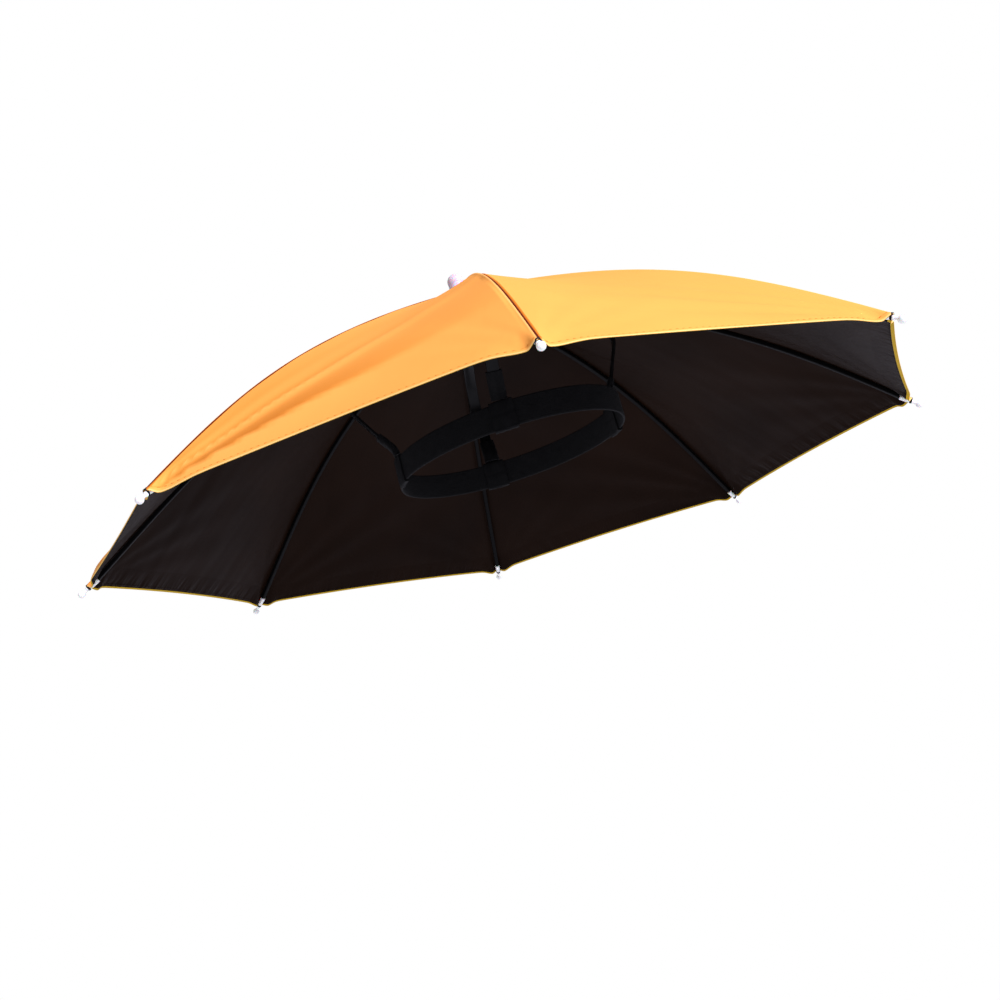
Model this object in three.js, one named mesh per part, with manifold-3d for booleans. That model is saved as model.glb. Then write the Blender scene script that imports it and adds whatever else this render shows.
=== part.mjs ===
// An umbrella hat: a small sun canopy on eight ribs, which stands over the head on four legs and a headband.
// Millimetres. +Z is up along the canopy's axis, the wearer looks along -Y, and -X is the wearer's right.
// The origin is on that axis, at the middle of the headband's height.

import * as THREE from "three";
import { mergeVertices } from "three/addons/utils/BufferGeometryUtils.js";
import Module from "manifold-3d";

// The rib line: the outer face of the cloth over a rib, from the crown down to the rib's end.
const TIP_RADIUS = 340; // from the axis to the end of the line
const CROWN_HEIGHT = 177.5; // from the plane of the line's ends up to the crown
const CROWN_ABOVE_BAND = 136; // from the middle of the headband up to the crown
// How much of the crown's height each power of the radius has taken away at the line's end.
const RIB_LINE = [
  { power: 1, part: 0.574 },
  { power: 2, part: 0.13 },
  { power: 4, part: 0.555 },
  { power: 6, part: -0.259 },
];
const TIP_FLEX = 7.5; // the furthest that a tip is bent up or down from the plane of the tips
const RIB_BOW = 5.7; // the furthest that a rib is bowed up or down halfway out
// The ribs, from the wearer's front round by the left, with their shares of TIP_FLEX and RIB_BOW.
const RIBS = [
  { name: "front", flex: 0.04, bow: -0.16 },
  { name: "front_left", flex: -0.42, bow: -0.55 },
  { name: "left", flex: -0.36, bow: 0.43 },
  { name: "back_left", flex: -0.29, bow: 0.71 },
  { name: "back", flex: 0.81, bow: 1 },
  { name: "back_right", flex: 1, bow: 0.78 },
  { name: "right", flex: 0.11, bow: -0.41 },
  { name: "front_right", flex: 0.46, bow: 0.52 },
];

// The cloth.
const HEM_RADIUS = 335.5; // from the axis to a corner of the hem, at a rib
const HEM_BOW = 3; // how far the hem bows in towards the axis between two ribs
const GORE_SAG = 5.4; // how far the middle of a gore hangs in from a flat span between its ribs
const SAG_SLOPE = 60; // the direction of that sag, in degrees down from level
const CLOTH = 1; // the wall's thickness
const CROWN_HOLE = 5.5; // the radius of the hole that the hub's stem goes through
const GAP = 0.3; // between two pieces that touch

// The ribs, open channels of folded steel.
const RIB_WIDTH = 3.4;
const RIB_DEPTH = 3;
const RIB_WALL = 0.8;
const RIB_IN_HUB = 6; // how far a rib's end goes into its slot in the hub

// The tips, moulded in one with the bead, turned round the line that carries the rib on.
const BEAD_RADIUS = 2.8;
const NECK_RADIUS = 1.2;
const COLLAR_RADIUS = 1.8;
const TIE_RADIUS = 1.2; // of the waist that the cloth's corner is tied to
const SLEEVE_RADIUS = 2.1; // at the rib's end
const SLEEVE_END_RADIUS = 1.5; // at the waist
const NECK_LENGTH = 2.6; // from the bead to the collar
const COLLAR_LENGTH = 1.2;
const TIE_LENGTH = 1.5;
const SLEEVE_LENGTH = 8.6;
const TIP_TILT = 4; // how far the tip turns up from the line, in degrees

// The hub: a disc with a slot for each rib, a core, a foot with a slot for each leg, and a stem to the cap.
const HUB_RADIUS = 17;
const HUB_DISC = 7; // the disc's thickness
const CORE_RADIUS = 8;
const FOOT_RADIUS = 15;
const FOOT_THICKNESS = 8;
const STEM_RADIUS = 4;
const STEM_IN_CAP = 6; // how far the stem goes into the cap

// The cap on the crown: a flange and a round knob.
const FLANGE_RADIUS = 11;
const FLANGE_EDGE = 1.2;
const KNOB_RADIUS = 6.6;
const CAP_HEIGHT = 15; // from the crown to the top of the knob

// The headband, an elastic webbing ring stretched to the oval of a head.
const BAND_LENGTH_RADIUS = 99.6; // half the oval's length, face to nape, at mid-thickness
const BAND_WIDTH_RADIUS = 78.4; // half the oval's width at mid-thickness
const BAND_FORWARD = 5.5; // the oval's centre in front of the canopy's axis
const BAND_SIDEWAYS = 4.5; // and to the wearer's left of it
const BAND_HEIGHT = 20.6;
const BAND_THICKNESS = 2;

// The legs: flat strips from the hub's foot out to an elbow and down to the band.
const LEG_RIBS = [1, 3, 5, 7]; // the ribs that the legs stand under
const LEG_WIDTH = 9.6;
const LEG_THICKNESS = 2.4;
const LEG_IN_HUB = 5; // how far a leg's end goes into its slot
const LEG_LEAD = 1; // how far outside the slot the leg comes level
const LEG_TOP = 28; // from the crown down to the leg's end in the hub
const ELBOW_RADIUS = 112;
const ELBOW_HEIGHT = 64; // above the middle of the band
// From the band to the elbow: shares of the way out, and of the way up.
const SHANK = [
  { out: 0, up: 0 },
  { out: 0.05, up: 0.1 },
  { out: 0.36, up: 0.36 },
  { out: 0.72, up: 0.7 },
  { out: 1, up: 1 },
];
// From the elbow to the hub: shares of the elbow's radius, and of the way up.
const ARM = [
  { out: 0.98, up: 0.24 },
  { out: 0.9, up: 0.5 },
  { out: 0.75, up: 0.72 },
  { out: 0.5, up: 0.9 },
  { out: 0.28, up: 0.98 },
];

// The keeper, a tape wrapped round the band under each leg, and the tape sleeve that holds the leg's foot.
const TAPE = 1; // the wall of both
const KEEPER_WIDTH = 18;
const SLEEVE_HEIGHT = 21; // along the leg
const SLEEVE_BELOW = 3; // how far the sleeve's tube runs below the leg's foot, before its end is cut level

// The fineness of curved faces.
const GORE_STEPS = 16; // from the crown to the hem
const GORE_SPANS = 6; // from rib to rib
const RIB_STEPS = 15;
const LEG_STEPS = 36;
const ROUND_SIDES = 24;
const TIP_SIDES = 10;
const BAND_SIDES = 40;
const KEEPER_STEPS = 5;
const SLEEVE_STEPS = 6;

const WELD = 1e-4; // points nearer than this are one
const ANGLE_STEP = 0.01; // between two angles of the oval that a length is measured over, in radians
const ANGLE_ROUNDS = 40; // steps to the oval's angle in a given direction, which come nearer each time

const DEGREE = Math.PI / 180;
const RIB_ANGLE = (360 / RIBS.length) * DEGREE;

const wasm = await Module();
wasm.setup();

const finishes = {
  canopy: { color: 0xf9a947, roughness: 0.75, metalness: 0 },
  rib: { color: 0x141414, roughness: 0.35, metalness: 0.9 },
  tip: { color: 0xf1f1e8, roughness: 0.3, metalness: 0 },
  hub: { color: 0x121212, roughness: 0.45, metalness: 0 },
  cap: { color: 0xe6d9e4, roughness: 0.25, metalness: 0 },
  leg: { color: 0x0e0e0e, roughness: 0.25, metalness: 0 },
  tape: { color: 0x121212, roughness: 0.9, metalness: 0 },
  band: { color: 0x151515, roughness: 0.9, metalness: 0 },
};

const hat = new THREE.Group();

function place(name, geometry, finish, turn = 0) {
  const mesh = new THREE.Mesh(geometry, new THREE.MeshStandardMaterial(finishes[finish]));
  mesh.name = name;
  mesh.rotation.z = turn;
  hat.add(mesh);
}

const ribAzimuth = (rib) => -90 * DEGREE + RIB_ANGLE * rib;

// The rib line's height at a radius from the axis.
function lineHeight(rib, radius) {
  const out = radius / TIP_RADIUS;
  const fallen = RIB_LINE.reduce((sum, { power, part }) => sum + part * out ** power, 0);
  const bowed = RIB_BOW * RIBS[rib].bow * Math.sin(Math.PI * out) ** 2;
  return CROWN_ABOVE_BAND - CROWN_HEIGHT * fallen + TIP_FLEX * RIBS[rib].flex * out ** 3 + bowed;
}

// The direction of the rib line at a radius, pointing out and down, as a unit vector in the rib's plane.
function lineDirection(rib, radius) {
  const step = TIP_RADIUS / 1000;
  return new THREE.Vector2(step, lineHeight(rib, radius + step) - lineHeight(rib, radius)).normalize();
}

// The point that lies a depth under the rib line, as (radius, height).
function underLine(rib, radius, depth) {
  const along = lineDirection(rib, radius);
  return new THREE.Vector2(radius + along.y * depth, lineHeight(rib, radius) - along.x * depth);
}

// How far the crease of the cloth over a rib falls away sideways, for each millimetre from the rib's plane.
function creaseFall(rib, radius) {
  const chord = 2 * radius * Math.sin(RIB_ANGLE / 2);
  const sagFall = (4 * GORE_SAG * Math.sin(Math.PI * (radius / TIP_RADIUS))) / chord;
  return Math.tan(RIB_ANGLE / 2) * -lineDirection(rib, radius).y + sagFall;
}

const inPlane = (point) => new THREE.Vector3(point.x, 0, point.y);
const turned = (point, azimuth) => inPlane(point).applyAxisAngle(new THREE.Vector3(0, 0, 1), azimuth);

// A wall between two grids of points, outer and inner, closed round its four edges.
function wall(outer, inner) {
  const rows = outer.length;
  const columns = outer[0].length;
  const positions = [...outer, ...inner].flat().flatMap((p) => [p.x, p.y, p.z]);
  const at = (side, i, j) => side * rows * columns + i * columns + j;
  const faces = [];
  const quad = (a, b, c, d) => faces.push(a, b, c, a, c, d);
  for (let i = 0; i + 1 < rows; i++) {
    for (let j = 0; j + 1 < columns; j++) {
      quad(at(0, i, j), at(0, i + 1, j), at(0, i + 1, j + 1), at(0, i, j + 1));
      quad(at(1, i, j), at(1, i, j + 1), at(1, i + 1, j + 1), at(1, i + 1, j));
    }
    quad(at(0, i, 0), at(1, i, 0), at(1, i + 1, 0), at(0, i + 1, 0));
    const last = columns - 1;
    quad(at(0, i, last), at(0, i + 1, last), at(1, i + 1, last), at(1, i, last));
  }
  for (let j = 0; j + 1 < columns; j++) {
    quad(at(0, 0, j), at(0, 0, j + 1), at(1, 0, j + 1), at(1, 0, j));
    quad(at(0, rows - 1, j), at(1, rows - 1, j), at(1, rows - 1, j + 1), at(0, rows - 1, j + 1));
  }
  return new THREE.BufferGeometry()
    .setAttribute("position", new THREE.Float32BufferAttribute(positions, 3))
    .setIndex(faces);
}

// A point of a gore, the panel from one rib to the next: down 0 at the crown to 1 at the hem, across 0 to 1.
function gorePoint(gore, down, across, depth) {
  const middle = 1 - (2 * across - 1) ** 2;
  const hem = HEM_RADIUS - HEM_BOW * middle;
  const radius = CROWN_HOLE + (hem - CROWN_HOLE) * down;
  const seam = GAP / 2 / (radius * Math.sin(RIB_ANGLE));
  const share = seam + (1 - 2 * seam) * across;
  const ends = [gore, (gore + 1) % RIBS.length].map((rib, i) =>
    turned(underLine(rib, radius, depth), ribAzimuth(gore + i)),
  );
  const point = ends[0].lerp(ends[1], share);
  const sag = GORE_SAG * middle * Math.sin(Math.PI * (radius / TIP_RADIUS));
  const azimuth = ribAzimuth(gore + 0.5);
  const level = sag * Math.cos(SAG_SLOPE * DEGREE);
  const fall = sag * Math.sin(SAG_SLOPE * DEGREE);
  return point.sub(new THREE.Vector3(level * Math.cos(azimuth), level * Math.sin(azimuth), fall));
}

// The height of the cloth's inner face in the middle of a gore, at a distance from the axis.
function goreMiddleHeight(distance) {
  const radius = distance / Math.cos(RIB_ANGLE / 2);
  return gorePoint(0, (radius - CROWN_HOLE) / (HEM_RADIUS - HEM_BOW - CROWN_HOLE), 0.5, CLOTH).z;
}

function goreGeometry(gore) {
  const shares = (count) => Array.from({ length: count + 1 }, (_, i) => i / count);
  const row = (down, depth) => shares(GORE_SPANS).map((across) => gorePoint(gore, down, across, depth));
  const grid = (depth) => shares(GORE_STEPS).map((down) => row(down, depth));
  return wall(grid(0), grid(CLOTH));
}

// A section carried along points of a vertical plane. The section's x runs across the plane, and its y runs
// to the side that lies below a path going outwards.
function carried(section, points, steps) {
  const extrudePath = new THREE.CatmullRomCurve3(points.map(inPlane));
  return new THREE.ExtrudeGeometry(section, { steps, bevelEnabled: false, extrudePath });
}

function rectangle(width, height) {
  const shape = new THREE.Shape();
  shape.moveTo(-width / 2, -height / 2);
  shape.lineTo(width / 2, -height / 2);
  shape.lineTo(width / 2, height / 2);
  shape.lineTo(-width / 2, height / 2);
  shape.closePath();
  return shape;
}

function channel() {
  const side = RIB_WIDTH / 2;
  const inside = side - RIB_WALL;
  const shape = new THREE.Shape();
  shape.moveTo(-side, -RIB_DEPTH / 2);
  shape.lineTo(side, -RIB_DEPTH / 2);
  shape.lineTo(side, RIB_DEPTH / 2);
  shape.lineTo(inside, RIB_DEPTH / 2);
  shape.lineTo(inside, RIB_WALL - RIB_DEPTH / 2);
  shape.lineTo(-inside, RIB_WALL - RIB_DEPTH / 2);
  shape.lineTo(-inside, RIB_DEPTH / 2);
  shape.lineTo(-side, RIB_DEPTH / 2);
  shape.closePath();
  return shape;
}

// From where the tip starts to the bead's centre.
const TIP_LENGTH = SLEEVE_LENGTH + TIE_LENGTH + COLLAR_LENGTH + NECK_LENGTH + BEAD_RADIUS;

// The tip's straight axis, from where it starts, under the cloth, to the bead's centre.
function tipFrame(rib) {
  const line = lineDirection(rib, HEM_RADIUS);
  const radius = HEM_RADIUS - (SLEEVE_LENGTH + TIE_LENGTH) * line.x;
  const bed = (SLEEVE_RADIUS + GAP) * Math.hypot(1, creaseFall(rib, HEM_RADIUS));
  const start = underLine(rib, radius, CLOTH + bed);
  const along = line.rotateAround(new THREE.Vector2(), TIP_TILT * DEGREE);
  return { radius, along, bead: start.addScaledVector(along, TIP_LENGTH) };
}

// The tip's profile, turned round its own axis with the bead's centre at 0 and the sleeve on the minus side.
function tipGeometry(rib) {
  const start = -TIP_LENGTH;
  const tie = start + SLEEVE_LENGTH;
  const collar = tie + TIE_LENGTH;
  const neck = collar + COLLAR_LENGTH;
  const profile = [
    new THREE.Vector2(0, start),
    new THREE.Vector2(SLEEVE_RADIUS, start),
    new THREE.Vector2(SLEEVE_END_RADIUS, tie),
    new THREE.Vector2(TIE_RADIUS, tie),
    new THREE.Vector2(TIE_RADIUS, collar),
    new THREE.Vector2(COLLAR_RADIUS, collar),
    new THREE.Vector2(COLLAR_RADIUS, neck),
    new THREE.Vector2(NECK_RADIUS, neck),
    ...[150, 120, 90, 60, 30].map(
      (a) => new THREE.Vector2(BEAD_RADIUS * Math.sin(a * DEGREE), BEAD_RADIUS * Math.cos(a * DEGREE)),
    ),
    new THREE.Vector2(0, BEAD_RADIUS),
  ];
  const { along, bead } = tipFrame(rib);
  const turn = new THREE.Quaternion().setFromUnitVectors(new THREE.Vector3(0, 1, 0), inPlane(along));
  const geometry = new THREE.LatheGeometry(profile, TIP_SIDES).applyQuaternion(turn);
  return geometry.translate(bead.x, 0, bead.y);
}

// The depth of a rib's back under the rib line, where its edges are clear of the cloth.
function ribBed(rib, radius) {
  return CLOTH + GAP + (creaseFall(rib, radius) * RIB_WIDTH) / 2;
}

// A rib runs under the cloth from its slot in the hub to the tip's sleeve.
function ribGeometry(rib) {
  const first = HUB_RADIUS - RIB_IN_HUB;
  const last = tipFrame(rib).radius - GAP;
  const points = Array.from({ length: RIB_STEPS + 1 }, (_, i) => {
    const radius = first + ((last - first) * i) / RIB_STEPS;
    return underLine(rib, radius, ribBed(rib, radius) + RIB_DEPTH / 2);
  });
  return carried(channel(), points, RIB_STEPS);
}

function solid(geometry) {
  const bare = new THREE.BufferGeometry().setAttribute("position", geometry.getAttribute("position"));
  if (geometry.index) bare.setIndex(geometry.index);
  const merged = mergeVertices(bare, WELD);
  const triVerts = new Uint32Array(merged.index.array);
  return new wasm.Manifold(
    new wasm.Mesh({ numProp: 3, vertProperties: merged.getAttribute("position").array, triVerts }),
  );
}

function geometryOf(made) {
  const { vertProperties, triVerts } = made.getMesh();
  return new THREE.BufferGeometry()
    .setAttribute("position", new THREE.BufferAttribute(vertProperties, 3))
    .setIndex(new THREE.BufferAttribute(triVerts, 1));
}

// A turned piece: a profile of (radius, height) points from the axis at the bottom to the axis at the top.
function turnedPiece(profile) {
  const points = profile.map(([radius, height]) => new THREE.Vector2(radius, height));
  return new THREE.LatheGeometry(points, ROUND_SIDES).rotateX(Math.PI / 2);
}

// The disc stays under the cloth, which is lowest over its edge in the middle of a gore.
const HUB_TOP = goreMiddleHeight(HUB_RADIUS) - GAP;
const HUB_UNDER = HUB_TOP - HUB_DISC;
const LEG_TOP_HEIGHT = CROWN_ABOVE_BAND - LEG_TOP;

function slot(width, height, inner, outer, z, azimuth) {
  const box = new THREE.BoxGeometry(outer - inner, width, height);
  return solid(box.translate((inner + outer) / 2, 0, z).rotateZ(azimuth));
}

function hubGeometry() {
  const footTop = LEG_TOP_HEIGHT + FOOT_THICKNESS / 2;
  let hub = solid(
    turnedPiece([
      [0, footTop - FOOT_THICKNESS],
      [FOOT_RADIUS, footTop - FOOT_THICKNESS],
      [FOOT_RADIUS, footTop],
      [CORE_RADIUS, footTop],
      [CORE_RADIUS, HUB_UNDER],
      [HUB_RADIUS, HUB_UNDER],
      [HUB_RADIUS, HUB_TOP],
      [STEM_RADIUS, HUB_TOP],
      [STEM_RADIUS, CROWN_ABOVE_BAND + STEM_IN_CAP],
      [0, CROWN_ABOVE_BAND + STEM_IN_CAP],
    ]),
  );
  RIBS.forEach((_, rib) => {
    const end = HUB_RADIUS - RIB_IN_HUB;
    const inner = underLine(rib, end, ribBed(rib, end) + RIB_DEPTH).x - GAP;
    const rim = HUB_RADIUS + CLOTH + RIB_DEPTH;
    const depth = HUB_TOP - underLine(rib, rim, ribBed(rib, rim) + RIB_DEPTH).y + GAP;
    const cut = slot(RIB_WIDTH + 2 * GAP, 2 * depth, inner, 2 * HUB_RADIUS, HUB_TOP, ribAzimuth(rib));
    hub = hub.subtract(cut);
  });
  LEG_RIBS.forEach((rib) => {
    const inner = FOOT_RADIUS - LEG_IN_HUB - GAP;
    const height = LEG_THICKNESS + 2 * GAP;
    const cut = slot(LEG_WIDTH + 2 * GAP, height, inner, 2 * FOOT_RADIUS, LEG_TOP_HEIGHT, ribAzimuth(rib));
    hub = hub.subtract(cut);
  });
  return geometryOf(hub);
}

function capGeometry() {
  const socket = STEM_RADIUS + GAP;
  const socketTop = CROWN_ABOVE_BAND + STEM_IN_CAP + GAP;
  const seat = (radius) => Math.max(...RIBS.map((_, rib) => lineHeight(rib, radius))) + 2 * GAP;
  const top = CROWN_ABOVE_BAND + CAP_HEIGHT;
  const knob = (angle) => {
    const from = angle * DEGREE;
    return [KNOB_RADIUS * Math.sin(from), top - KNOB_RADIUS * (1 - Math.cos(from))];
  };
  return turnedPiece([
    [0, socketTop],
    [socket, socketTop],
    [socket, seat(socket)],
    [FLANGE_RADIUS, seat(FLANGE_RADIUS)],
    [FLANGE_RADIUS, seat(FLANGE_RADIUS) + FLANGE_EDGE],
    [KNOB_RADIUS, seat(KNOB_RADIUS) + 2 * FLANGE_EDGE],
    ...[90, 65, 40, 20].map(knob),
    [0, top],
  ]);
}

// The band's oval, moved out or in from mid-thickness, as a point of the plane at an angle of the oval.
function bandPoint(angle, out) {
  const x = BAND_SIDEWAYS + (BAND_WIDTH_RADIUS + out) * Math.cos(angle);
  const y = -BAND_FORWARD + (BAND_LENGTH_RADIUS + out) * Math.sin(angle);
  return new THREE.Vector2(x, y);
}

function ovalPath(Kind, out) {
  const path = new Kind();
  const x = BAND_WIDTH_RADIUS + out;
  const y = BAND_LENGTH_RADIUS + out;
  path.absellipse(BAND_SIDEWAYS, -BAND_FORWARD, x, y, 0, 2 * Math.PI);
  return path;
}

function bandGeometry() {
  const ring = ovalPath(THREE.Shape, BAND_THICKNESS / 2);
  ring.holes.push(ovalPath(THREE.Path, -BAND_THICKNESS / 2));
  const options = { depth: BAND_HEIGHT, bevelEnabled: false, curveSegments: BAND_SIDES };
  return new THREE.ExtrudeGeometry(ring, options).translate(0, 0, -BAND_HEIGHT / 2);
}

// The angle of the oval at which the band crosses a plane through the axis.
function bandAngle(azimuth) {
  let angle = azimuth;
  for (let i = 0; i < ANGLE_ROUNDS; i++) {
    const point = bandPoint(angle, 0);
    const off = Math.atan2(point.y, point.x) - azimuth;
    angle -= Math.atan2(Math.sin(off), Math.cos(off));
  }
  return angle;
}

// The keeper wraps the band for its own width, with the band's oval as its path.
function keeperGeometry(rib) {
  const middle = bandAngle(ribAzimuth(rib));
  const chord = bandPoint(middle + ANGLE_STEP / 2, 0).distanceTo(bandPoint(middle - ANGLE_STEP / 2, 0));
  const half = (KEEPER_WIDTH / 2 / chord) * ANGLE_STEP;
  const points = Array.from({ length: KEEPER_STEPS + 1 }, (_, i) => {
    const point = bandPoint(middle + half * ((2 * i) / KEEPER_STEPS - 1), 0);
    return new THREE.Vector3(point.x, point.y, 0);
  });
  const section = rectangle(BAND_HEIGHT + 2 * (GAP + TAPE), BAND_THICKNESS + 2 * (GAP + TAPE));
  section.holes.push(rectangle(BAND_HEIGHT + 2 * GAP, BAND_THICKNESS + 2 * GAP));
  const extrudePath = new THREE.CatmullRomCurve3(points);
  return new THREE.ExtrudeGeometry(section, { steps: KEEPER_STEPS, bevelEnabled: false, extrudePath });
}

const KEEPER_TOP = BAND_HEIGHT / 2 + GAP + TAPE;
const LEG_FOOT = KEEPER_TOP + GAP + TAPE + GAP;

// The leg's route in its own plane, from its foot over the keeper to its end in the hub.
function legRoute(rib) {
  const azimuth = ribAzimuth(rib);
  const foot = new THREE.Vector2(bandPoint(bandAngle(azimuth), 0).length(), LEG_FOOT);
  const elbow = new THREE.Vector2(ELBOW_RADIUS, ELBOW_HEIGHT);
  const shank = SHANK.map(
    ({ out, up }) => new THREE.Vector2(foot.x + (elbow.x - foot.x) * out, foot.y + (elbow.y - foot.y) * up),
  );
  const rise = LEG_TOP_HEIGHT - ELBOW_HEIGHT;
  const arm = ARM.map(({ out, up }) => new THREE.Vector2(ELBOW_RADIUS * out, ELBOW_HEIGHT + rise * up));
  const level = new THREE.Vector2(FOOT_RADIUS + LEG_LEAD, LEG_TOP_HEIGHT);
  const end = new THREE.Vector2(FOOT_RADIUS - LEG_IN_HUB, LEG_TOP_HEIGHT);
  return [...shank, ...arm, level, end];
}

const legGeometry = (rib) => carried(rectangle(LEG_WIDTH, LEG_THICKNESS), legRoute(rib), LEG_STEPS);

// The sleeve follows the leg up from its foot, with a closed end that stands flat over the keeper.
function sleeveGeometry(rib) {
  const route = new THREE.CatmullRomCurve3(legRoute(rib).map(inPlane));
  const tangent = route.getTangentAt(0);
  const at = (distance) => {
    const point = route.getPointAt(Math.max(distance, 0) / route.getLength());
    return point.addScaledVector(tangent, Math.min(distance, 0));
  };
  const tube = (room, from, to) => {
    const step = (to - from) / SLEEVE_STEPS;
    const points = Array.from({ length: SLEEVE_STEPS + 1 }, (_, i) => at(from + step * i));
    const section = rectangle(LEG_WIDTH + 2 * room, LEG_THICKNESS + 2 * room);
    const extrudePath = new THREE.CatmullRomCurve3(points);
    const options = { steps: SLEEVE_STEPS, bevelEnabled: false, extrudePath };
    return solid(new THREE.ExtrudeGeometry(section, options));
  };
  const reach = 2 * ELBOW_RADIUS;
  const above = new THREE.BoxGeometry(reach, reach, reach);
  above.translate(ELBOW_RADIUS, 0, KEEPER_TOP + GAP + reach / 2);
  const outside = tube(GAP + TAPE, -SLEEVE_BELOW, SLEEVE_HEIGHT);
  const bore = tube(GAP, -GAP, SLEEVE_HEIGHT + TAPE);
  return geometryOf(outside.subtract(bore).intersect(solid(above)));
}

RIBS.forEach(({ name }, rib) => {
  place(`gore_${rib + 1}`, goreGeometry(rib), "canopy");
  place(`rib_${name}`, ribGeometry(rib), "rib", ribAzimuth(rib));
  place(`tip_${name}`, tipGeometry(rib), "tip", ribAzimuth(rib));
});
place("hub", hubGeometry(), "hub");
place("cap", capGeometry(), "cap");
place("headband", bandGeometry(), "band");
LEG_RIBS.forEach((rib) => {
  const { name } = RIBS[rib];
  place(`leg_${name}`, legGeometry(rib), "leg", ribAzimuth(rib));
  place(`sleeve_${name}`, sleeveGeometry(rib), "tape", ribAzimuth(rib));
  place(`keeper_${name}`, keeperGeometry(rib), "tape");
});

export default hat;
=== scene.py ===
import math

import bmesh
import bpy
import numpy as np
from bpy.props import FloatProperty, FloatVectorProperty, IntProperty, PointerProperty
from mathutils import Matrix, Vector


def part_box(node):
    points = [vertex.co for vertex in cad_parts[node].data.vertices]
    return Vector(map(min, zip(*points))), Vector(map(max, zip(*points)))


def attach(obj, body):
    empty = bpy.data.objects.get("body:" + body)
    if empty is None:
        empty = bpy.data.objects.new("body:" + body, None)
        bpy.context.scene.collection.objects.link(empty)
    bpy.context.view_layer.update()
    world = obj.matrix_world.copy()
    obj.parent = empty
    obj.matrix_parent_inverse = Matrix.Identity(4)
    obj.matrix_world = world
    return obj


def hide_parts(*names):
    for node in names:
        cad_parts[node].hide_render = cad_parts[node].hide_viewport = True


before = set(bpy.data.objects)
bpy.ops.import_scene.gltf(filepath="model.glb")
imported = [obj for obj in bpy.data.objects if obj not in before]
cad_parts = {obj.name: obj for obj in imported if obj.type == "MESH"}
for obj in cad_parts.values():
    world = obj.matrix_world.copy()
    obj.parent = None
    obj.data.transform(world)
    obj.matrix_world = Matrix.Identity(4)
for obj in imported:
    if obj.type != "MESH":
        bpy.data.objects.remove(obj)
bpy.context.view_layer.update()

bl_info = {
    "name": "Umbrella hat",
    "version": (1, 0, 0),
    "blender": (4, 5, 0),
    "location": "3D View > Sidebar > Umbrella hat",
    "description": "Builds an umbrella hat's cloth, ribs, tips, legs and headband on its frame",
    "category": "Object",
}

# Sizes are in metres, and heights are measured from the middle of the headband.

# The rib line, which is the outer face of the cloth over a rib, from the crown to the rib's end.
TIP_RADIUS = 0.340
CROWN_HEIGHT = 0.1775  # over the rib's end
CROWN = 0.136
RIB_LINE = {1: 0.574, 2: 0.13, 4: 0.555, 6: -0.259}  # the powers of the radius and their shares of the fall
TIP_FLEX = 0.0075
RIB_BOW = 0.0057
# The ribs' shares of TIP_FLEX and RIB_BOW.
RIBS = {
    "front": (0.04, -0.16),
    "front_left": (-0.42, -0.55),
    "left": (-0.36, 0.43),
    "back_left": (-0.29, 0.71),
    "back": (0.81, 1),
    "back_right": (1, 0.78),
    "right": (0.11, -0.41),
    "front_right": (0.46, 0.52),
}
NAMES = list(RIBS)
RIB_ANGLE = math.tau / len(RIBS)

# The cloth.
HEM_RADIUS = 0.3355
HEM_BOW = 0.003
GORE_SAG = 0.0054
SAG_SLOPE = math.radians(60)
CLOTH = 0.001  # the room for the cloth over ribs and tips
CROWN_HOLE = 0.0055
GAP = 0.0003  # between two pieces that touch

# The ribs and tips.
RIB_WIDTH = 0.0034
RIB_DEPTH = 0.003
RIB_IN_HUB = 0.006
RIB_FLOOR = 1.2  # the channel's floor, in thicknesses of the rib's steel
RIB_STATIONS = 72
BEAD_RADIUS = 0.0028
NECK_RADIUS = 0.0012
COLLAR_RADIUS = 0.0018
TIE_RADIUS = 0.0012
SLEEVE_RADIUS = 0.0021
SLEEVE_END_RADIUS = 0.0015
NECK_LENGTH = 0.0026
COLLAR_LENGTH = 0.0012
TIE_LENGTH = 0.0015
SLEEVE_LENGTH = 0.0086
TIP_LENGTH = SLEEVE_LENGTH + TIE_LENGTH + COLLAR_LENGTH + NECK_LENGTH + BEAD_RADIUS
TIP_TILT = math.radians(4)
TIP_EDGE = 0.0002
SLEEVE_STRAIGHT = 0.6  # the share of the sleeve before it narrows
NECK_FLARE = 1.05
NECK_STRAIGHT = 0.4
BEAD_ARC = (-62, 80)

# The thread that ties the cloth to a tip. The gathered cloth holds it off the waist, more above than beside.
TIE_TURNS = 4
TIE_STEPS = 20
TIE_THREAD = 0.00032
TIE_SPREAD = 0.8  # the share of the waist that the turns cover
TIE_BESIDE = 0.0006
TIE_ABOVE = 0.0011
TIE_LIFT = 0.0006  # from the tip's axis to the middle of the turns

# The hub, the cap and the legs.
HUB_RADIUS = 0.017
HUB_DISC = 0.007
CORE_RADIUS = 0.008
FOOT_RADIUS = 0.015
FOOT_THICKNESS = 0.008
STEM_RADIUS = 0.004
STEM_IN_CAP = 0.006
HUB_EDGE = 0.0004
HUB_UNDER_CLOTH = CLOTH * 1.2
SLOT_BEHIND = 0.0008  # room in a slot behind the rib's end and under the rib
SLOT_UNDER = 0.0012
FLANGE_RADIUS = 0.011
FLANGE_EDGE = 0.0012
FLANGE_INSET = 0.0004
KNOB_RADIUS = 0.0066
KNOB_ARC = (-12, 85)
KNOB_NECK = ((1.12, 1.9), (0.97, 2.6))  # outwards in knob radii, upwards in flange edges
KNOB_WAIST = (0.95, 0.35)  # outwards and under the knob's centre, in knob radii
CAP_HEIGHT = 0.015
LEG_RIBS = (1, 3, 5, 7)
LEG_WIDTH = 0.0096
LEG_THICKNESS = 0.0024
LEG_ROUNDING = 0.42  # the radius of its edges, in thicknesses
LEG_IN_HUB = 0.005
LEG_LEAD = 0.001
LEG_TOP = 0.028
ELBOW_RADIUS = 0.112
ELBOW_HEIGHT = 0.064
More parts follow.
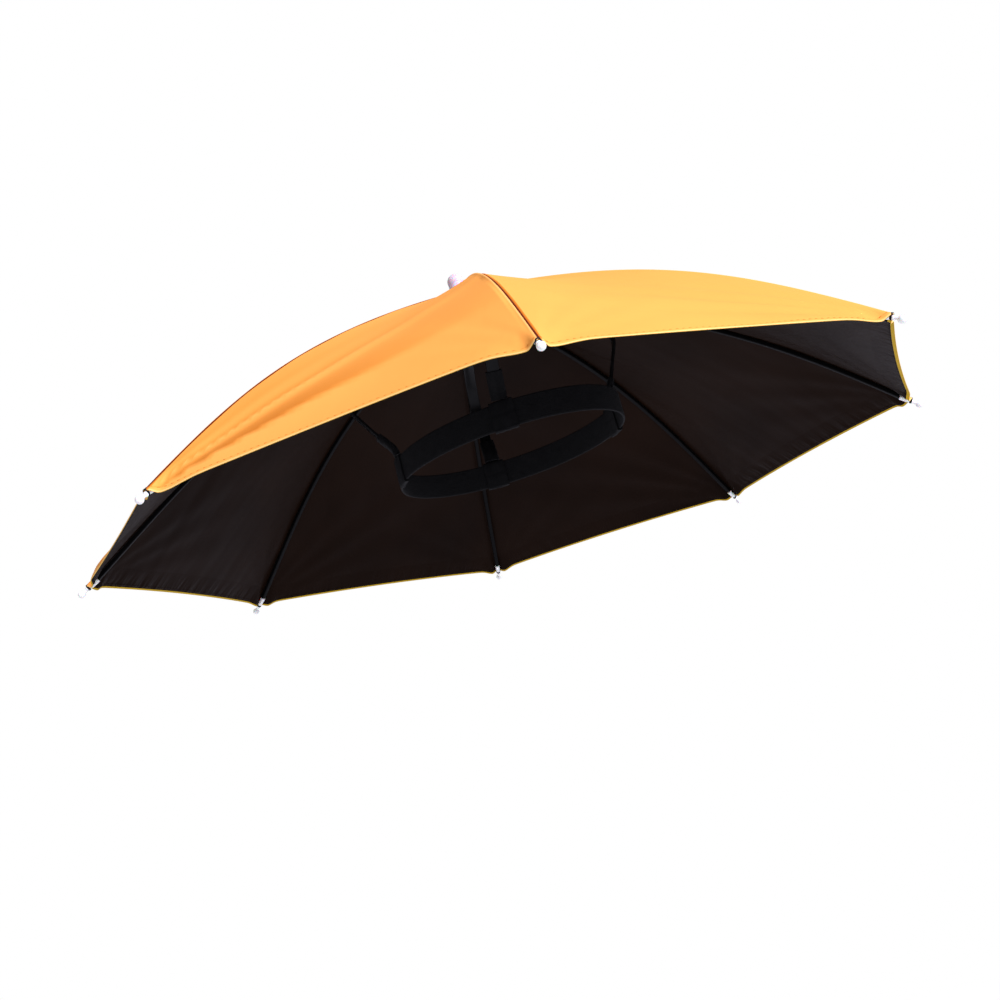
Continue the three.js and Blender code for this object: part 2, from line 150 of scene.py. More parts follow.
# The leg below and above its elbow, as shares of the way outwards and upwards.
SHANK = ((0, 0), (0.05, 0.1), (0.36, 0.36), (0.72, 0.7), (1, 1))
ARM = ((0.98, 0.24), (0.9, 0.5), (0.75, 0.72), (0.5, 0.9), (0.28, 0.98))

# The headband, its keepers and the sleeves on the legs' feet.
BAND_LENGTH_RADIUS = 0.0996
BAND_WIDTH_RADIUS = 0.0784
BAND_FORWARD = 0.0055
BAND_SIDEWAYS = 0.0045
BAND_HEIGHT = 0.0206
BAND_THICKNESS = 0.002
BAND_STATIONS = 240
RIDGE_STEPS = 4
TAPE = 0.001
TAPE_WALL = TAPE * 0.9
TAPE_ROUNDING = 0.35  # the radius of a wrapped tape's corners, as a share of its narrow side
TAPE_SPAN = 0.02  # the length of a tape, for its weave
KEEPER_WIDTH = 0.018
KEEPER_STATIONS = 15
SLEEVE_HEIGHT = 0.021
SLEEVE_BELOW = 0.0008
SLEEVE_STATIONS = 19
# The waves of a tape's wrinkles: height, waves along and around it, and the shift from tape to tape.
KEEPER_WAVES = ((0.00022, 9, 38, 1), (0.00012, 21, 12, 2))
SLEEVE_WAVES = ((0.00012, 17, 25, 1), (0.0001, 0, 50, 1))
KEEPER_TOP = BAND_HEIGHT / 2 + GAP + TAPE
LEG_FOOT = KEEPER_TOP + GAP + TAPE + GAP
LEG_END = CROWN - LEG_TOP

# Across a seam, towards the gore that starts there: millimetres, the height in millimetres, and the shares
# of the cloth's red, green and blue. The shares are painted light and shade: a painted highlight on the
# folded edge, painted shade in the groove and on the tuck strip beside it.
SEAM_SECTION = (
    (-3.2, 0, (1, 1, 1)),
    (-1.9, 0.15, (1, 1, 1)),
    (-1.0, 0.3, (1.05, 1.3, 1.9)),
    (-0.1, 0.25, (1.05, 1.3, 1.9)),
    (0.1, 0, (0.25, 0.08, 0.02)),
    (0.5, -0.35, (0.1, 0.02, 0.01)),
    (2.1, -0.35, (0.12, 0.03, 0.01)),
    (2.6, -0.1, (0.6, 0.38, 0.15)),
    (4.0, 0.1, (0.72, 0.54, 0.3)),
    (4.6, 0.15, (1, 1, 1)),
    (5.6, 0, (1, 1, 1)),
)
SEAM_ROOM = 0.018  # a gore narrower than this has its seams drawn smaller
SEAM_TAPER = 0.35  # how much narrower the seam is at its corner than at the crown
SEAM_FADE = (0.006, 0.016)  # from the hem, where the seam's relief starts and where it is full
SEAM_ALLOWANCE = 0.0045
ALLOWANCE_DEPTH = 0.0004  # how much thicker the cloth is there

# Across the turned hem, from its edge: millimetres, the height in millimetres, and the shares of the cloth's
# red, green and blue. The shares are painted light and shade: a painted highlight on the rolled edge, painted
# shade in the dip by the stitches.
HEM_SECTION = (
    (0, -0.3, (1.06, 1.5, 2.6)),
    (0.3, -0.1, (1.06, 1.5, 2.6)),
    (0.7, 0, (1.03, 1.2, 1.6)),
    (1.1, 0.1, (1, 1, 1)),
    (1.6, 0.15, (1, 1, 1)),
    (2.3, 0.15, (1, 1, 1)),
    (2.8, -0.15, (0.9, 0.85, 0.8)),
    (3.3, 0, (1, 1, 1)),
    (4.2, 0, (1, 1, 1)),
)
STITCH_LINE = 0.0028  # from the hem's edge
STITCH = {"Pitch": 0.0046, "Length": 0.0022, "Thickness": 0.0006}
STITCH_LIFT = 0.0001
STITCH_ENDS = (4, 3)  # columns without stitches at a gore's first and second seam
# How much of the turned hem shows on the inside of each gore.
HEM_INSIDE = (0.0025, 0.0012, 0.0012, 0.0012, 0.0012, 0.0012, 0.0012, 0.0012)
# Painted shade on the turned hem inside the canopy, which faces away from the light, as shares of the cloth's
# red, green and blue.
HEM_INSIDE_PAINTED_SHADE = (0.62, 0.97, 0.33)
GORE_COLUMNS = 70
COLUMN_CROWDING = 0.8  # the columns stand closer beside the seams
GORE_ROWS = 58
ROW_CROWDING = 0.9  # the rows stand a little closer towards the hem
HEM_ROOM = 0.003  # from the last of those rows to the rows of the hem's section
HEM_EDGE = 0.001  # the width of cloth on the edge, for its weave

# The folds that fan out from a tied corner: degrees from the hem to the seam, and the share of their height.
# The deep folds also have painted shadows, as a share of the cloth's colour.
FOLD_FAN = ((0, 0), (9, 0.5), (17, -0.6), (27, 0.8), (37, -0.7), (48, 0.6), (60, -0.5), (72, 0.3), (90, 0))
DEEP_FAN = ((0, 0), (10, 0.55), (20, 1), (46, -0.35), (51, 0.05), (56, -0.3), (70, -0.1), (90, 0))
DEEP_SHADE = (
    (0, 1.03),
    (17, 1.08),
    (20.5, 0.5),
    (35, 0.68),
    (46, 0.93),
    (51, 1.12),
    (55.5, 0.7),
    (63, 0.9),
    (68, 0.93),
    (76, 0.8),
    (83, 0.86),
    (90, 0.86),
)
FOLD_PEAK = 0.35  # the share of the reach at which the folds are highest
FOLD_FADE = (0.004, 0.003)  # from the seam and from the hem, where the folds are full
# For each gore, the fold height and the folds' reach at its first and at its second corner.
CORNER_FOLDS = (
    (0.0010, 0.10, 0.0010, 0.11),
    (0.0009, 0.12, 0.0014, 0.12),
    (0.0018, 0.13, 0.0008, 0.10),
    (0.0010, 0.11, 0.0012, 0.13),
    (0.0008, 0.10, 0.0009, 0.12),
    (0.0008, 0.12, 0.0010, 0.11),
    (0.0028, 0.26, 0.0006, 0.09),
    (0.0007, 0.10, 0.0018, 0.13),
)
DEEP_GORE = 6  # the gore whose first corner has the deep folds
SHADE_START = 4  # the shade is full from a quarter of the way to the folds' peak
SHADE_REACH = 0.6  # and fades from this share of the way
SHADE_POWERS = (0.6, 1, 2)  # SHADE_POWERS = (0.6, 1, 2) # how strongly a painted shadow takes red, green and blue
# The cloth's soft unevenness: its height, and its waves along the hem and up from it.
UNEVEN_HEIGHT = 0.0003
UNEVEN_WAVES = (70, 55, 60)
# Where the edge of the gore beside it swells out: its gore, distances from seam and hem, size and height.
SWELLING = (5, 0.045, 0.02, 0.026, 0.0035)
# At a tied corner the cloth is drawn down round the tip.
CORNER_DROP = 0.004
CORNER_WRAP = (0.0012, 0.0085)  # from the seam, where the cloth starts to fall and where it has fallen
CORNER_REACH = 0.009  # how far up from the hem the fall goes
# For each gore, how much lower its hem hangs between its corners, how far that goes on from its first corner,
# and how far the fall beside a tip goes on along the hem.
HEM_DROP = (*[(0, 1, 0.006)] * 6, (0.0026, 0.16, 0.015), (0.002, 1, 0.015))
HEM_DROP_ENDS = 0.03  # from the corner, where the hem hangs fully lower
HEM_DROP_UP = 0.035  # how far up from the hem that goes

# The camera at the photograph's viewing angle.
CAMERA_PLACE = Vector((-0.7777, -0.6300, -0.2619))
CAMERA_LOOK = Vector((0.7524, 0.6227, 0.2150))
CAMERA_UP = Vector((0.0035, -0.3302, 0.9439))
CAMERA_SENSOR = 36  # millimetres
CAMERA_FAR = 200

# The floor and the key light.
FLOOR_REACH = 40
FLOOR_FADE = (2.5, 6.0)  # where the floor starts to turn white for the camera, and where it is white
KEY_TOWARDS = Vector((-0.06, -0.88, 0.47))
KEY_SPREAD = math.radians(25)
KEY_COLOUR = (0.98, 0.97, 1.22)


def rib_azimuth(rib):
    return -math.pi / 2 + RIB_ANGLE * rib


def line_height(rib, radius):
    """The rib line's height at a radius from the axis."""
    out = radius / TIP_RADIUS
    fallen = sum(part * out**power for power, part in RIB_LINE.items())
    flex, bow = RIBS[NAMES[rib % len(RIBS)]]
    return CROWN - CROWN_HEIGHT * fallen + TIP_FLEX * flex * out**3 + RIB_BOW * bow * np.sin(np.pi * out) ** 2


def crown_height(radius):
    """The height of the highest rib line at a radius."""
    return max(line_height(rib, radius) for rib in range(len(RIBS)))


def line_direction(rib, radius):
    """The rib line's direction out and down, as (radius, height)."""
    step = TIP_RADIUS / 1000
    return Vector((step, line_height(rib, radius + step) - line_height(rib, radius))).normalized()


def under_line(rib, radius, depth):
    along = line_direction(rib, radius)
    return Vector((radius + along.y * depth, line_height(rib, radius) - along.x * depth))


def crease_fall(rib, radius):
    """How far the cloth's crease over a rib falls away for each metre sideways."""
    chord = 2 * radius * math.sin(RIB_ANGLE / 2)
    sag_fall = 4 * GORE_SAG * math.sin(math.pi * radius / TIP_RADIUS) / chord
    return math.tan(RIB_ANGLE / 2) * -line_direction(rib, radius).y + sag_fall


def turned_out(point, azimuth, aside=0.0):
    """A (radius, height) point of the vertical plane at an azimuth, moved sideways out of that plane."""
    radius, height = point
    x = radius * math.cos(azimuth) - aside * math.sin(azimuth)
    y = radius * math.sin(azimuth) + aside * math.cos(azimuth)
    return Vector((x, y, height))


def tip_frame(rib):
    """The radius where a tip starts, its direction and its bead's centre, in the rib's plane."""
    line = line_direction(rib, HEM_RADIUS)
    radius = HEM_RADIUS - (SLEEVE_LENGTH + TIE_LENGTH) * line.x
    bed = (SLEEVE_RADIUS + GAP) * math.hypot(1, crease_fall(rib, HEM_RADIUS))
    start = under_line(rib, radius, CLOTH + bed)
    cos, sin = math.cos(TIP_TILT), math.sin(TIP_TILT)
    along = Vector((line.x * cos - line.y * sin, line.x * sin + line.y * cos))
    return radius, along, start + along * TIP_LENGTH


def band_point(angle, out):
    x = BAND_SIDEWAYS + (BAND_WIDTH_RADIUS + out) * math.cos(angle)
    y = -BAND_FORWARD + (BAND_LENGTH_RADIUS + out) * math.sin(angle)
    return Vector((x, y, 0))


def band_outwards(angle):
    """The direction out of the band's face at an angle of its oval."""
    step = 0.001
    return (band_point(angle, step) - band_point(angle, 0)).normalized()


def band_angle(azimuth, rounds=40):
    """The angle of the band's oval at which it crosses a plane through the axis."""
    angle = azimuth
    for _ in range(rounds):
        point = band_point(angle, 0)
        off = math.atan2(point.y, point.x) - azimuth
        angle -= math.atan2(math.sin(off), math.cos(off))
    return angle


def smooth_route(points, per_span):
    """A centripetal Catmull-Rom curve through points."""
    ends = [2 * points[0] - points[1], *points, 2 * points[-1] - points[-2]]
    route = []
    for p0, p1, p2, p3 in zip(ends, ends[1:], ends[2:], ends[3:]):
        d0, d1, d2 = ((b - a).length ** 0.5 for a, b in ((p0, p1), (p1, p2), (p2, p3)))
        leave = ((p1 - p0) / d0 - (p2 - p0) / (d0 + d1) + (p2 - p1) / d1) * d1
        arrive = ((p2 - p1) / d1 - (p3 - p1) / (d1 + d2) + (p3 - p2) / d2) * d1
        for i in range(per_span):
            t = i / per_span
            near = (2 * t**3 - 3 * t**2 + 1) * p1 + (t**3 - 2 * t**2 + t) * leave
            route.append(near + (3 * t**2 - 2 * t**3) * p2 + (t**3 - t**2) * arrive)
    return [*route, points[-1]]


def leg_route(rib):
    """A leg's middle line in its own plane, from its foot to its end in the hub."""
    foot = Vector((band_point(band_angle(rib_azimuth(rib)), 0).length, LEG_FOOT))
    elbow = Vector((ELBOW_RADIUS, ELBOW_HEIGHT))
    bulge = elbow - foot
    shank = [Vector((foot.x + bulge.x * out, foot.y + bulge.y * up)) for out, up in SHANK]
    rise = LEG_END - ELBOW_HEIGHT
    arm = [Vector((ELBOW_RADIUS * out, ELBOW_HEIGHT + rise * up)) for out, up in ARM]
    level = Vector((FOOT_RADIUS + LEG_LEAD, LEG_END))
    end = Vector((FOOT_RADIUS - LEG_IN_HUB, LEG_END))
    return smooth_route([*shank, *arm, level, end], per_span=10)


# Meshes

def new_mesh(name, points, faces, materials, uv=None, sharp=None):
    """A smooth mesh, with edges over the angle sharp kept hard. uv has one pair for each face corner."""
    mesh = bpy.data.meshes.new(name)
    mesh.from_pydata([tuple(p) for p in points], [], faces)
    mesh.polygons.foreach_set("use_smooth", [True] * len(mesh.polygons))
    if sharp:
        mesh.set_sharp_from_angle(angle=sharp)
    if uv is not None:
        layer = mesh.uv_layers.new(name="cloth")
        layer.data.foreach_set("uv", np.asarray(uv, np.float32).ravel())
    for material in materials:
        mesh.materials.append(material)
    mesh.validate()
    mesh.update()
    return mesh


def distances(points):
    """How far along a line each of its points lies."""
    return np.cumsum([0] + [(b - a).length for a, b in zip(points, points[1:])])


def loft(sections, looped=False):
    """Points and faces of a skin over rings of points. Each ring runs anticlockwise seen from the far end."""
    size = len(sections[0])
    points = [point for ring in sections for point in ring]
    faces = []
    uv = []
    spans = len(sections) if looped else len(sections) - 1
    rail = [ring[0] for ring in sections]
    along = distances([*rail, rail[0]] if looped else rail)
    around = distances([*sections[0], sections[0][0]])
    for i in range(spans):
        here, there = i * size, (i + 1) % len(sections) * size
        for j in range(size):
            k = (j + 1) % size
            faces.append((here + j, here + k, there + k, there + j))
            uv += [(along[i], around[j]), (along[i], around[j + 1])]
            uv += [(along[i + 1], around[j + 1]), (along[i + 1], around[j])]
    if not looped:
        last = (len(sections) - 1) * size
        faces.append(tuple(reversed(range(size))))
        faces.append(tuple(range(last, last + size)))
        for end in (sections[0], sections[-1]):
            flat = [(p - end[0]).length for p in end]
            uv += [(d, 0) for d in flat]
    return points, faces, uv


def rounded_rectangle(width, height, radius, steps=5):
    """Points of a rounded rectangle, anticlockwise."""
    points = []
    for i, (x, y) in enumerate(((1, 1), (-1, 1), (-1, -1), (1, -1))):
        for j in range(steps + 1):
            angle = (i + j / steps) * math.pi / 2
            across = x * (width / 2 - radius) + radius * math.cos(angle)
            points.append((across, y * (height / 2 - radius) + radius * math.sin(angle)))
    return points


def turned_mesh(name, profile, material, segments=64, sharp=math.radians(35)):
    """A turned piece from (radius, height) points, from the axis at the bottom to the axis at the top."""
    points = [Vector((0, 0, profile[0][1]))]
    for radius, height in profile[1:-1]:
        for i in range(segments):
            angle = math.tau * i / segments
            points.append(Vector((radius * math.cos(angle), radius * math.sin(angle), height)))
    points.append(Vector((0, 0, profile[-1][1])))
    top = len(points) - 1
    rings = len(profile) - 2
    faces = []
    for i in range(segments):
        k = (i + 1) % segments
        faces.append((0, 1 + k, 1 + i))
        faces.append((top, top - segments + i, top - segments + k))
        for ring in range(rings - 1):
            low = 1 + ring * segments
            high = low + segments
            faces.append((low + i, low + k, high + k, high + i))
    return new_mesh(name, points, faces, [material], sharp=sharp)


def arc(centre, radius, start, end, steps):
    """Points of an arc from start to end degrees, as (radius, height)."""
    angles = [math.radians(start + (end - start) * i / steps) for i in range(steps + 1)]
    return [(centre[0] + radius * math.cos(a), centre[1] + radius * math.sin(a)) for a in angles]


def add_piece(name, mesh, nodes=()):
    """Links a finished mesh as a piece that rides with the hat and stands for CAD nodes."""
    piece = bpy.data.objects.new(name, mesh)
    bpy.context.scene.collection.objects.link(piece)
    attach(piece, "root")
    if nodes:
        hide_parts(*nodes)
    return piece


# Geometry Nodes

def node(tree, kind, inputs=None, **settings):
    """A node with its settings, and its inputs as values or as sockets to link from."""
    made = tree.nodes.new(kind)
    for key, value in settings.items():
        setattr(made, key, value)
    for key, value in (inputs or {}).items():
        if isinstance(value, bpy.types.NodeSocket):
            tree.links.new(value, made.inputs[key])
        else:
            made.inputs[key].default_value = value
    return made


def tree_group(name, kind, inputs, outputs):
    """A node group with its inputs as {name: (socket type, default)}, its outputs, and its two end nodes."""
    tree = bpy.data.node_groups.new(name, kind)
    for label, (socket, default) in inputs.items():
        item = tree.interface.new_socket(name=label, in_out="INPUT", socket_type=socket)
        if default is not None:
            item.default_value = default
    for label, socket in outputs.items():
        tree.interface.new_socket(name=label, in_out="OUTPUT", socket_type=socket)
    return tree, tree.nodes.new("NodeGroupInput").outputs, tree.nodes.new("NodeGroupOutput").inputs


def stitch_tree():
    """Stitches of a chosen pitch, length and thickness along curves."""
    tree, given, out = tree_group(
        "Stitches",
        "GeometryNodeTree",
        {
            "Geometry": ("NodeSocketGeometry", None),
            **{label: ("NodeSocketFloat", value) for label, value in STITCH.items()},
            "Seed": ("NodeSocketInt", 11),
            "Material": ("NodeSocketMaterial", None),
        },
        {"Geometry": "NodeSocketGeometry"},
    )
    spacing = {"Curve": given["Geometry"], "Length": given["Pitch"]}
    spaced = node(tree, "GeometryNodeResampleCurve", spacing, mode="LENGTH")
    tangent = node(tree, "GeometryNodeInputTangent")
    turn = node(tree, "FunctionNodeAlignRotationToVector", {"Vector": tangent.outputs["Tangent"]}, axis="X")
    sides = {"X": given["Length"], "Y": given["Thickness"], "Z": given["Thickness"]}
    size = node(tree, "ShaderNodeCombineXYZ", sides).outputs["Vector"]
    least, most = 0.88, 1.08
    limits = {2: least, 3: most, "Seed": given["Seed"]}
    vary = node(tree, "FunctionNodeRandomValue", limits, data_type="FLOAT")
    scaled = node(tree, "ShaderNodeVectorMath", {0: size, "Scale": vary.outputs[1]}, operation="SCALE")
    bead = node(tree, "GeometryNodeMeshUVSphere", {"Segments": 6, "Rings": 4, "Radius": 0.5})
    placed = node(
        tree,
        "GeometryNodeInstanceOnPoints",
        {
            "Points": spaced.outputs["Curve"],
            "Instance": bead.outputs["Mesh"],
            "Rotation": turn.outputs["Rotation"],
            "Scale": scaled.outputs["Vector"],
        },
    )
    finish_tree(tree, placed.outputs["Instances"], given, out)
    return tree


def finish_tree(tree, geometry, given, out):
    """Ends a tree: instances made real, smooth shading, and the material."""
    real = node(tree, "GeometryNodeRealizeInstances", {"Geometry": geometry})
    smooth = node(tree, "GeometryNodeSetShadeSmooth", {"Geometry": real.outputs["Geometry"]})
    done = node(
        tree,
        "GeometryNodeSetMaterial",
        {"Geometry": smooth.outputs["Geometry"], "Material": given["Material"]},
    )
    tree.links.new(done.outputs["Geometry"], out["Geometry"])


def sweep_tree():
    """A profile swept along curves, with its own x across the curve."""
    tree, given, out = tree_group(
        "Swept ribs",
        "GeometryNodeTree",
        {
            "Geometry": ("NodeSocketGeometry", None),
            "Profile": ("NodeSocketObject", None),
            "Material": ("NodeSocketMaterial", None),
        },
        {"Geometry": "NodeSocketGeometry"},
    )
    level = node(tree, "GeometryNodeSetCurveNormal", {"Curve": given["Geometry"]}, mode="Z_UP")
    profile = node(tree, "GeometryNodeObjectInfo", {"Object": given["Profile"]})
    swept = node(
        tree,
        "GeometryNodeCurveToMesh",
        {"Curve": level.outputs["Curve"], "Profile Curve": profile.outputs["Geometry"], "Fill Caps": True},
    )
    finish_tree(tree, swept.outputs["Mesh"], given, out)
    return tree


def carried_tree():
    """A piece set on each point, its x axis along the point's own direction and its z axis upwards."""
    tree, given, out = tree_group(
        "Carried pieces",
        "GeometryNodeTree",
        {
            "Geometry": ("NodeSocketGeometry", None),
            "Piece": ("NodeSocketObject", None),
            "Material": ("NodeSocketMaterial", None),
        },
        {"Geometry": "NodeSocketGeometry"},
    )
    along = node(tree, "GeometryNodeInputNamedAttribute", {"Name": "along"}, data_type="FLOAT_VECTOR")
    aim = {"Vector": along.outputs["Attribute"]}
    aimed = node(tree, "FunctionNodeAlignRotationToVector", aim, axis="X")
    upright = node(
        tree,
        "FunctionNodeAlignRotationToVector",
        {"Rotation": aimed.outputs["Rotation"], "Vector": (0, 0, 1)},
        axis="Z",
        pivot_axis="X",
    )
    piece = node(tree, "GeometryNodeObjectInfo", {"Object": given["Piece"]})
    placed = node(
        tree,
        "GeometryNodeInstanceOnPoints",
        {
            "Points": given["Geometry"],
            "Instance": piece.outputs["Geometry"],
            "Rotation": upright.outputs["Rotation"],
        },
    )
    finish_tree(tree, placed.outputs["Instances"], given, out)
    return tree


def grown(name, source, tree, values):
    """The mesh that a node tree grows on a source object. The source is removed."""
    if source.name not in bpy.context.scene.collection.objects:
        bpy.context.scene.collection.objects.link(source)
    modifier = source.modifiers.new("grow", "NODES")
    modifier.node_group = tree
    for item in tree.interface.items_tree:
        if item.in_out == "INPUT" and item.name in values:
            modifier[item.identifier] = values[item.name]
    graph = bpy.context.evaluated_depsgraph_get()
    mesh = bpy.data.meshes.new_from_object(source.evaluated_get(graph), depsgraph=graph)
    mesh.name = name
    source.modifiers.remove(modifier)
    bpy.data.objects.remove(source)
    return mesh


def curve_object(name, lines, cyclic=False):
    """A curve object with one poly spline for each list of points."""
    curve = bpy.data.curves.new(name, "CURVE")
    curve.dimensions = "3D"
    for line in lines:
        spline = curve.splines.new("POLY")
        spline.points.add(len(line) - 1)
        for point, place in zip(spline.points, line):
            point.co = (*place, 1)
        spline.use_cyclic_u = cyclic
    return bpy.data.objects.new(name, curve)


def carrier_object(name, places, directions):
    """A mesh of points, each with the direction that its piece follows."""
    mesh = bpy.data.meshes.new(name)
    mesh.from_pydata([tuple(p) for p in places], [], [])
    along = mesh.attributes.new("along", "FLOAT_VECTOR", "POINT")
    along.data.foreach_set("vector", [x for direction in directions for x in direction])
    return bpy.data.objects.new(name, mesh)


# Shared shader groups

def maths(tree, operation, *values):
    """The result of a Math node."""
    return node(tree, "ShaderNodeMath", dict(enumerate(values)), operation=operation).outputs[0]


def spread_over(tree, value, source, target):
    """A value carried over from one range to another."""
    ranges = {"From Min": source[0], "From Max": source[1], "To Min": target[0], "To Max": target[1]}
    return node(tree, "ShaderNodeMapRange", {"Value": value, **ranges}).outputs["Result"]


def noise_texture(tree, vector, scale, detail):
    values = {"Vector": vector, "Scale": scale, "Detail": detail}
    return node(tree, "ShaderNodeTexNoise", values).outputs["Fac"]


def weave_group():
    """A plain weave in the piece's own cloth coordinates, as a height and as the shade between threads."""
    tree, given, out = tree_group(
        "Plain weave",
        "ShaderNodeTree",
        {
            "Vector": ("NodeSocketVector", None),
            "Pitch": ("NodeSocketFloat", 0.0005),
            "Shade": ("NodeSocketFloat", 0.1),
        },
        {"Height": "NodeSocketFloat", "Tone": "NodeSocketFloat"},
    )
    split = node(tree, "ShaderNodeSeparateXYZ", {"Vector": given["Vector"]})
    rate = maths(tree, "DIVIDE", math.pi, given["Pitch"])
    waves = [maths(tree, "SINE", maths(tree, "MULTIPLY", split.outputs[axis], rate)) for axis in ("X", "Y")]
    height = maths(tree, "ABSOLUTE", maths(tree, "MULTIPLY", *waves))
    tone = spread_over(tree, height, (0.0, 0.5), (maths(tree, "SUBTRACT", 1.0, given["Shade"]), 1.0))
    tree.links.new(height, out["Height"])
    tree.links.new(tone, out["Tone"])
    return tree


def mottle_group():
    """Soft uneven patches in object coordinates, from 1 minus the amount to 1 plus it."""
    tree, given, out = tree_group(
        "Mottle",
        "ShaderNodeTree",
        {
            "Scale": ("NodeSocketFloat", 40.0),
            "Amount": ("NodeSocketFloat", 0.05),
        },
        {"Tone": "NodeSocketFloat"},
    )
    place = node(tree, "ShaderNodeTexCoord").outputs["Object"]
    values = {"Vector": place, "Scale": given["Scale"], "Detail": 4.0, "Roughness": 0.55}
    noise = node(tree, "ShaderNodeTexNoise", values).outputs["Fac"]
    low, high = (maths(tree, operation, 1.0, given["Amount"]) for operation in ("SUBTRACT", "ADD"))
    tree.links.new(spread_over(tree, noise, (0.3, 0.7), (low, high)), out["Tone"])
    return tree


def shared(name, build):
    """A node group by name, built once."""
    return bpy.data.node_groups.get(name) or build()


def new_material(name):
    material = bpy.data.materials.new(name)
    material.use_nodes = True
    tree = material.node_tree
    return material, tree, tree.nodes["Principled BSDF"]


def set_shader(shader, **values):
    """Constant values on the shader's own sockets, with spaces as underscores."""
    for key, value in values.items():
        shader.inputs[key.replace("_", " ")].default_value = value


def woven(tree, uv, pitch, shade):
    """A plain weave's node, with its height and tone."""
    group = shared("Plain weave", weave_group)
    return node(tree, "ShaderNodeGroup", {"Vector": uv, "Pitch": pitch, "Shade": shade}, node_tree=group)


def mottled(tree, scale, amount):
    """The tone of uneven patches."""
    group = shared("Mottle", mottle_group)
    return node(tree, "ShaderNodeGroup", {"Scale": scale, "Amount": amount}, node_tree=group).outputs["Tone"]


def toned(tree, colour, *tones):
    """A colour, as a socket or a value, times each of some tones."""
    for tone in tones:
        mixed = node(tree, "ShaderNodeVectorMath", {0: colour, "Scale": tone}, operation="SCALE")
        colour = mixed.outputs["Vector"]
    return colour


def bumped(tree, shader, height, strength, distance, normal=None):
    """Bumps on a shader, over those of an earlier bump's normal where it has one."""
    inputs = {"Height": height, "Strength": strength, "Distance": distance}
    if normal:
        inputs["Normal"] = normal
    bump = node(tree, "ShaderNodeBump", inputs)
    tree.links.new(bump.outputs["Normal"], shader.inputs["Normal"])
    return bump.outputs["Normal"]


def cloth_material(name):
    settings = bpy.context.scene.hat_canopy
    material, tree, shader = new_material(name)
    uv = node(tree, "ShaderNodeUVMap", uv_map="cloth").outputs["UV"]
    weave = woven(tree, uv, settings.thread, shade=0.06)
    mottle = mottled(tree, scale=9.0, amount=0.03)
    # Painted light and shade from the seams, the hem and the deep folds, as shares of the cloth's colour.
    sewn = node(tree, "ShaderNodeAttribute", attribute_name="painted_light_and_shade").outputs["Vector"]
    colours = {0: (*settings.cloth_colour,), 1: sewn}
    shaded = node(tree, "ShaderNodeVectorMath", colours, operation="MULTIPLY").outputs["Vector"]
    colour = toned(tree, shaded, weave.outputs["Tone"], mottle)
    tree.links.new(colour, shader.inputs["Base Color"])
    stretch = node(tree, "ShaderNodeMapping", {"Vector": uv, "Scale": (1.0, 0.35, 1.0)}).outputs["Vector"]
    crinkle = noise_texture(tree, stretch, scale=60.0, detail=3.0)
    soft = bumped(tree, shader, crinkle, strength=0.25, distance=0.001)
    bumped(tree, shader, weave.outputs["Height"], strength=0.12, distance=0.0001, normal=soft)
    set_shader(shader, Roughness=0.7, Specular_IOR_Level=0.05)
    return material


def lining_material(name):
    settings = bpy.context.scene.hat_canopy
    material, tree, shader = new_material(name)
    uv = node(tree, "ShaderNodeUVMap", uv_map="cloth").outputs["UV"]
    weave = woven(tree, uv, settings.thread, shade=0.15)
    mottle = mottled(tree, scale=7.0, amount=0.3)
    colour = toned(tree, (*settings.lining_colour,), weave.outputs["Tone"], mottle)
    tree.links.new(colour, shader.inputs["Base Color"])
    to_hem = node(tree, "ShaderNodeAttribute", attribute_name="to_hem").outputs["Fac"]
    near_hem = spread_over(tree, to_hem, (0.003, 0.016), (1.0, 0.0))
    across = node(tree, "ShaderNodeMapping", {"Vector": uv, "Scale": (1.0, 0.15, 1.0)}).outputs["Vector"]
    puckers = maths(tree, "MULTIPLY", noise_texture(tree, across, scale=130.0, detail=2.0), near_hem)
    crinkle = noise_texture(tree, across, scale=40.0, detail=1.0)
    soft = bumped(tree, shader, crinkle, strength=0.6, distance=0.003)
    rough = bumped(tree, shader, puckers, strength=0.9, distance=0.003, normal=soft)
    bumped(tree, shader, weave.outputs["Height"], strength=0.1, distance=0.0001, normal=rough)
    set_shader(shader, Roughness=0.47, Specular_IOR_Level=0.02)
    return material


def plain_material(name, colour, roughness, grain_scale, grain_depth, tone, **shader_values):
    """Moulded, painted or spun material: mottled colour and a fine grain in object coordinates."""
    material, tree, shader = new_material(name)
    mottle = mottled(tree, grain_scale / 6, tone)
    tree.links.new(toned(tree, (*colour,), mottle), shader.inputs["Base Color"])
    place = node(tree, "ShaderNodeTexCoord").outputs["Object"]
    grain = noise_texture(tree, place, grain_scale, detail=3.0)
    bumped(tree, shader, grain, grain_depth, distance=0.0002)
    rough = spread_over(tree, grain, (0.0, 1.0), (roughness * 0.8, roughness * 1.2))
    tree.links.new(rough, shader.inputs["Roughness"])
    set_shader(shader, **shader_values)
    return material


def webbing_material(name, colour, pitch, shade, depth):
    """Woven tape or elastic: a coarse weave in the piece's own coordinates."""
    material, tree, shader = new_material(name)
    uv = node(tree, "ShaderNodeUVMap", uv_map="cloth").outputs["UV"]
    weave = woven(tree, uv, pitch, shade)
    mottle = mottled(tree, scale=120.0, amount=0.15)
    colour = toned(tree, (*colour,), weave.outputs["Tone"], mottle)
    tree.links.new(colour, shader.inputs["Base Color"])
    bumped(tree, shader, weave.outputs["Height"], depth, distance=0.0003)
    set_shader(shader, Roughness=0.85, Specular_IOR_Level=0.1)
    return material


def rib_enamel(name):
    colour = bpy.context.scene.hat_frame.rib_colour
    grain = {"grain_scale": 900.0, "grain_depth": 0.1}
    return plain_material(name, colour, roughness=0.45, tone=0.2, Specular_IOR_Level=0.04, **grain)


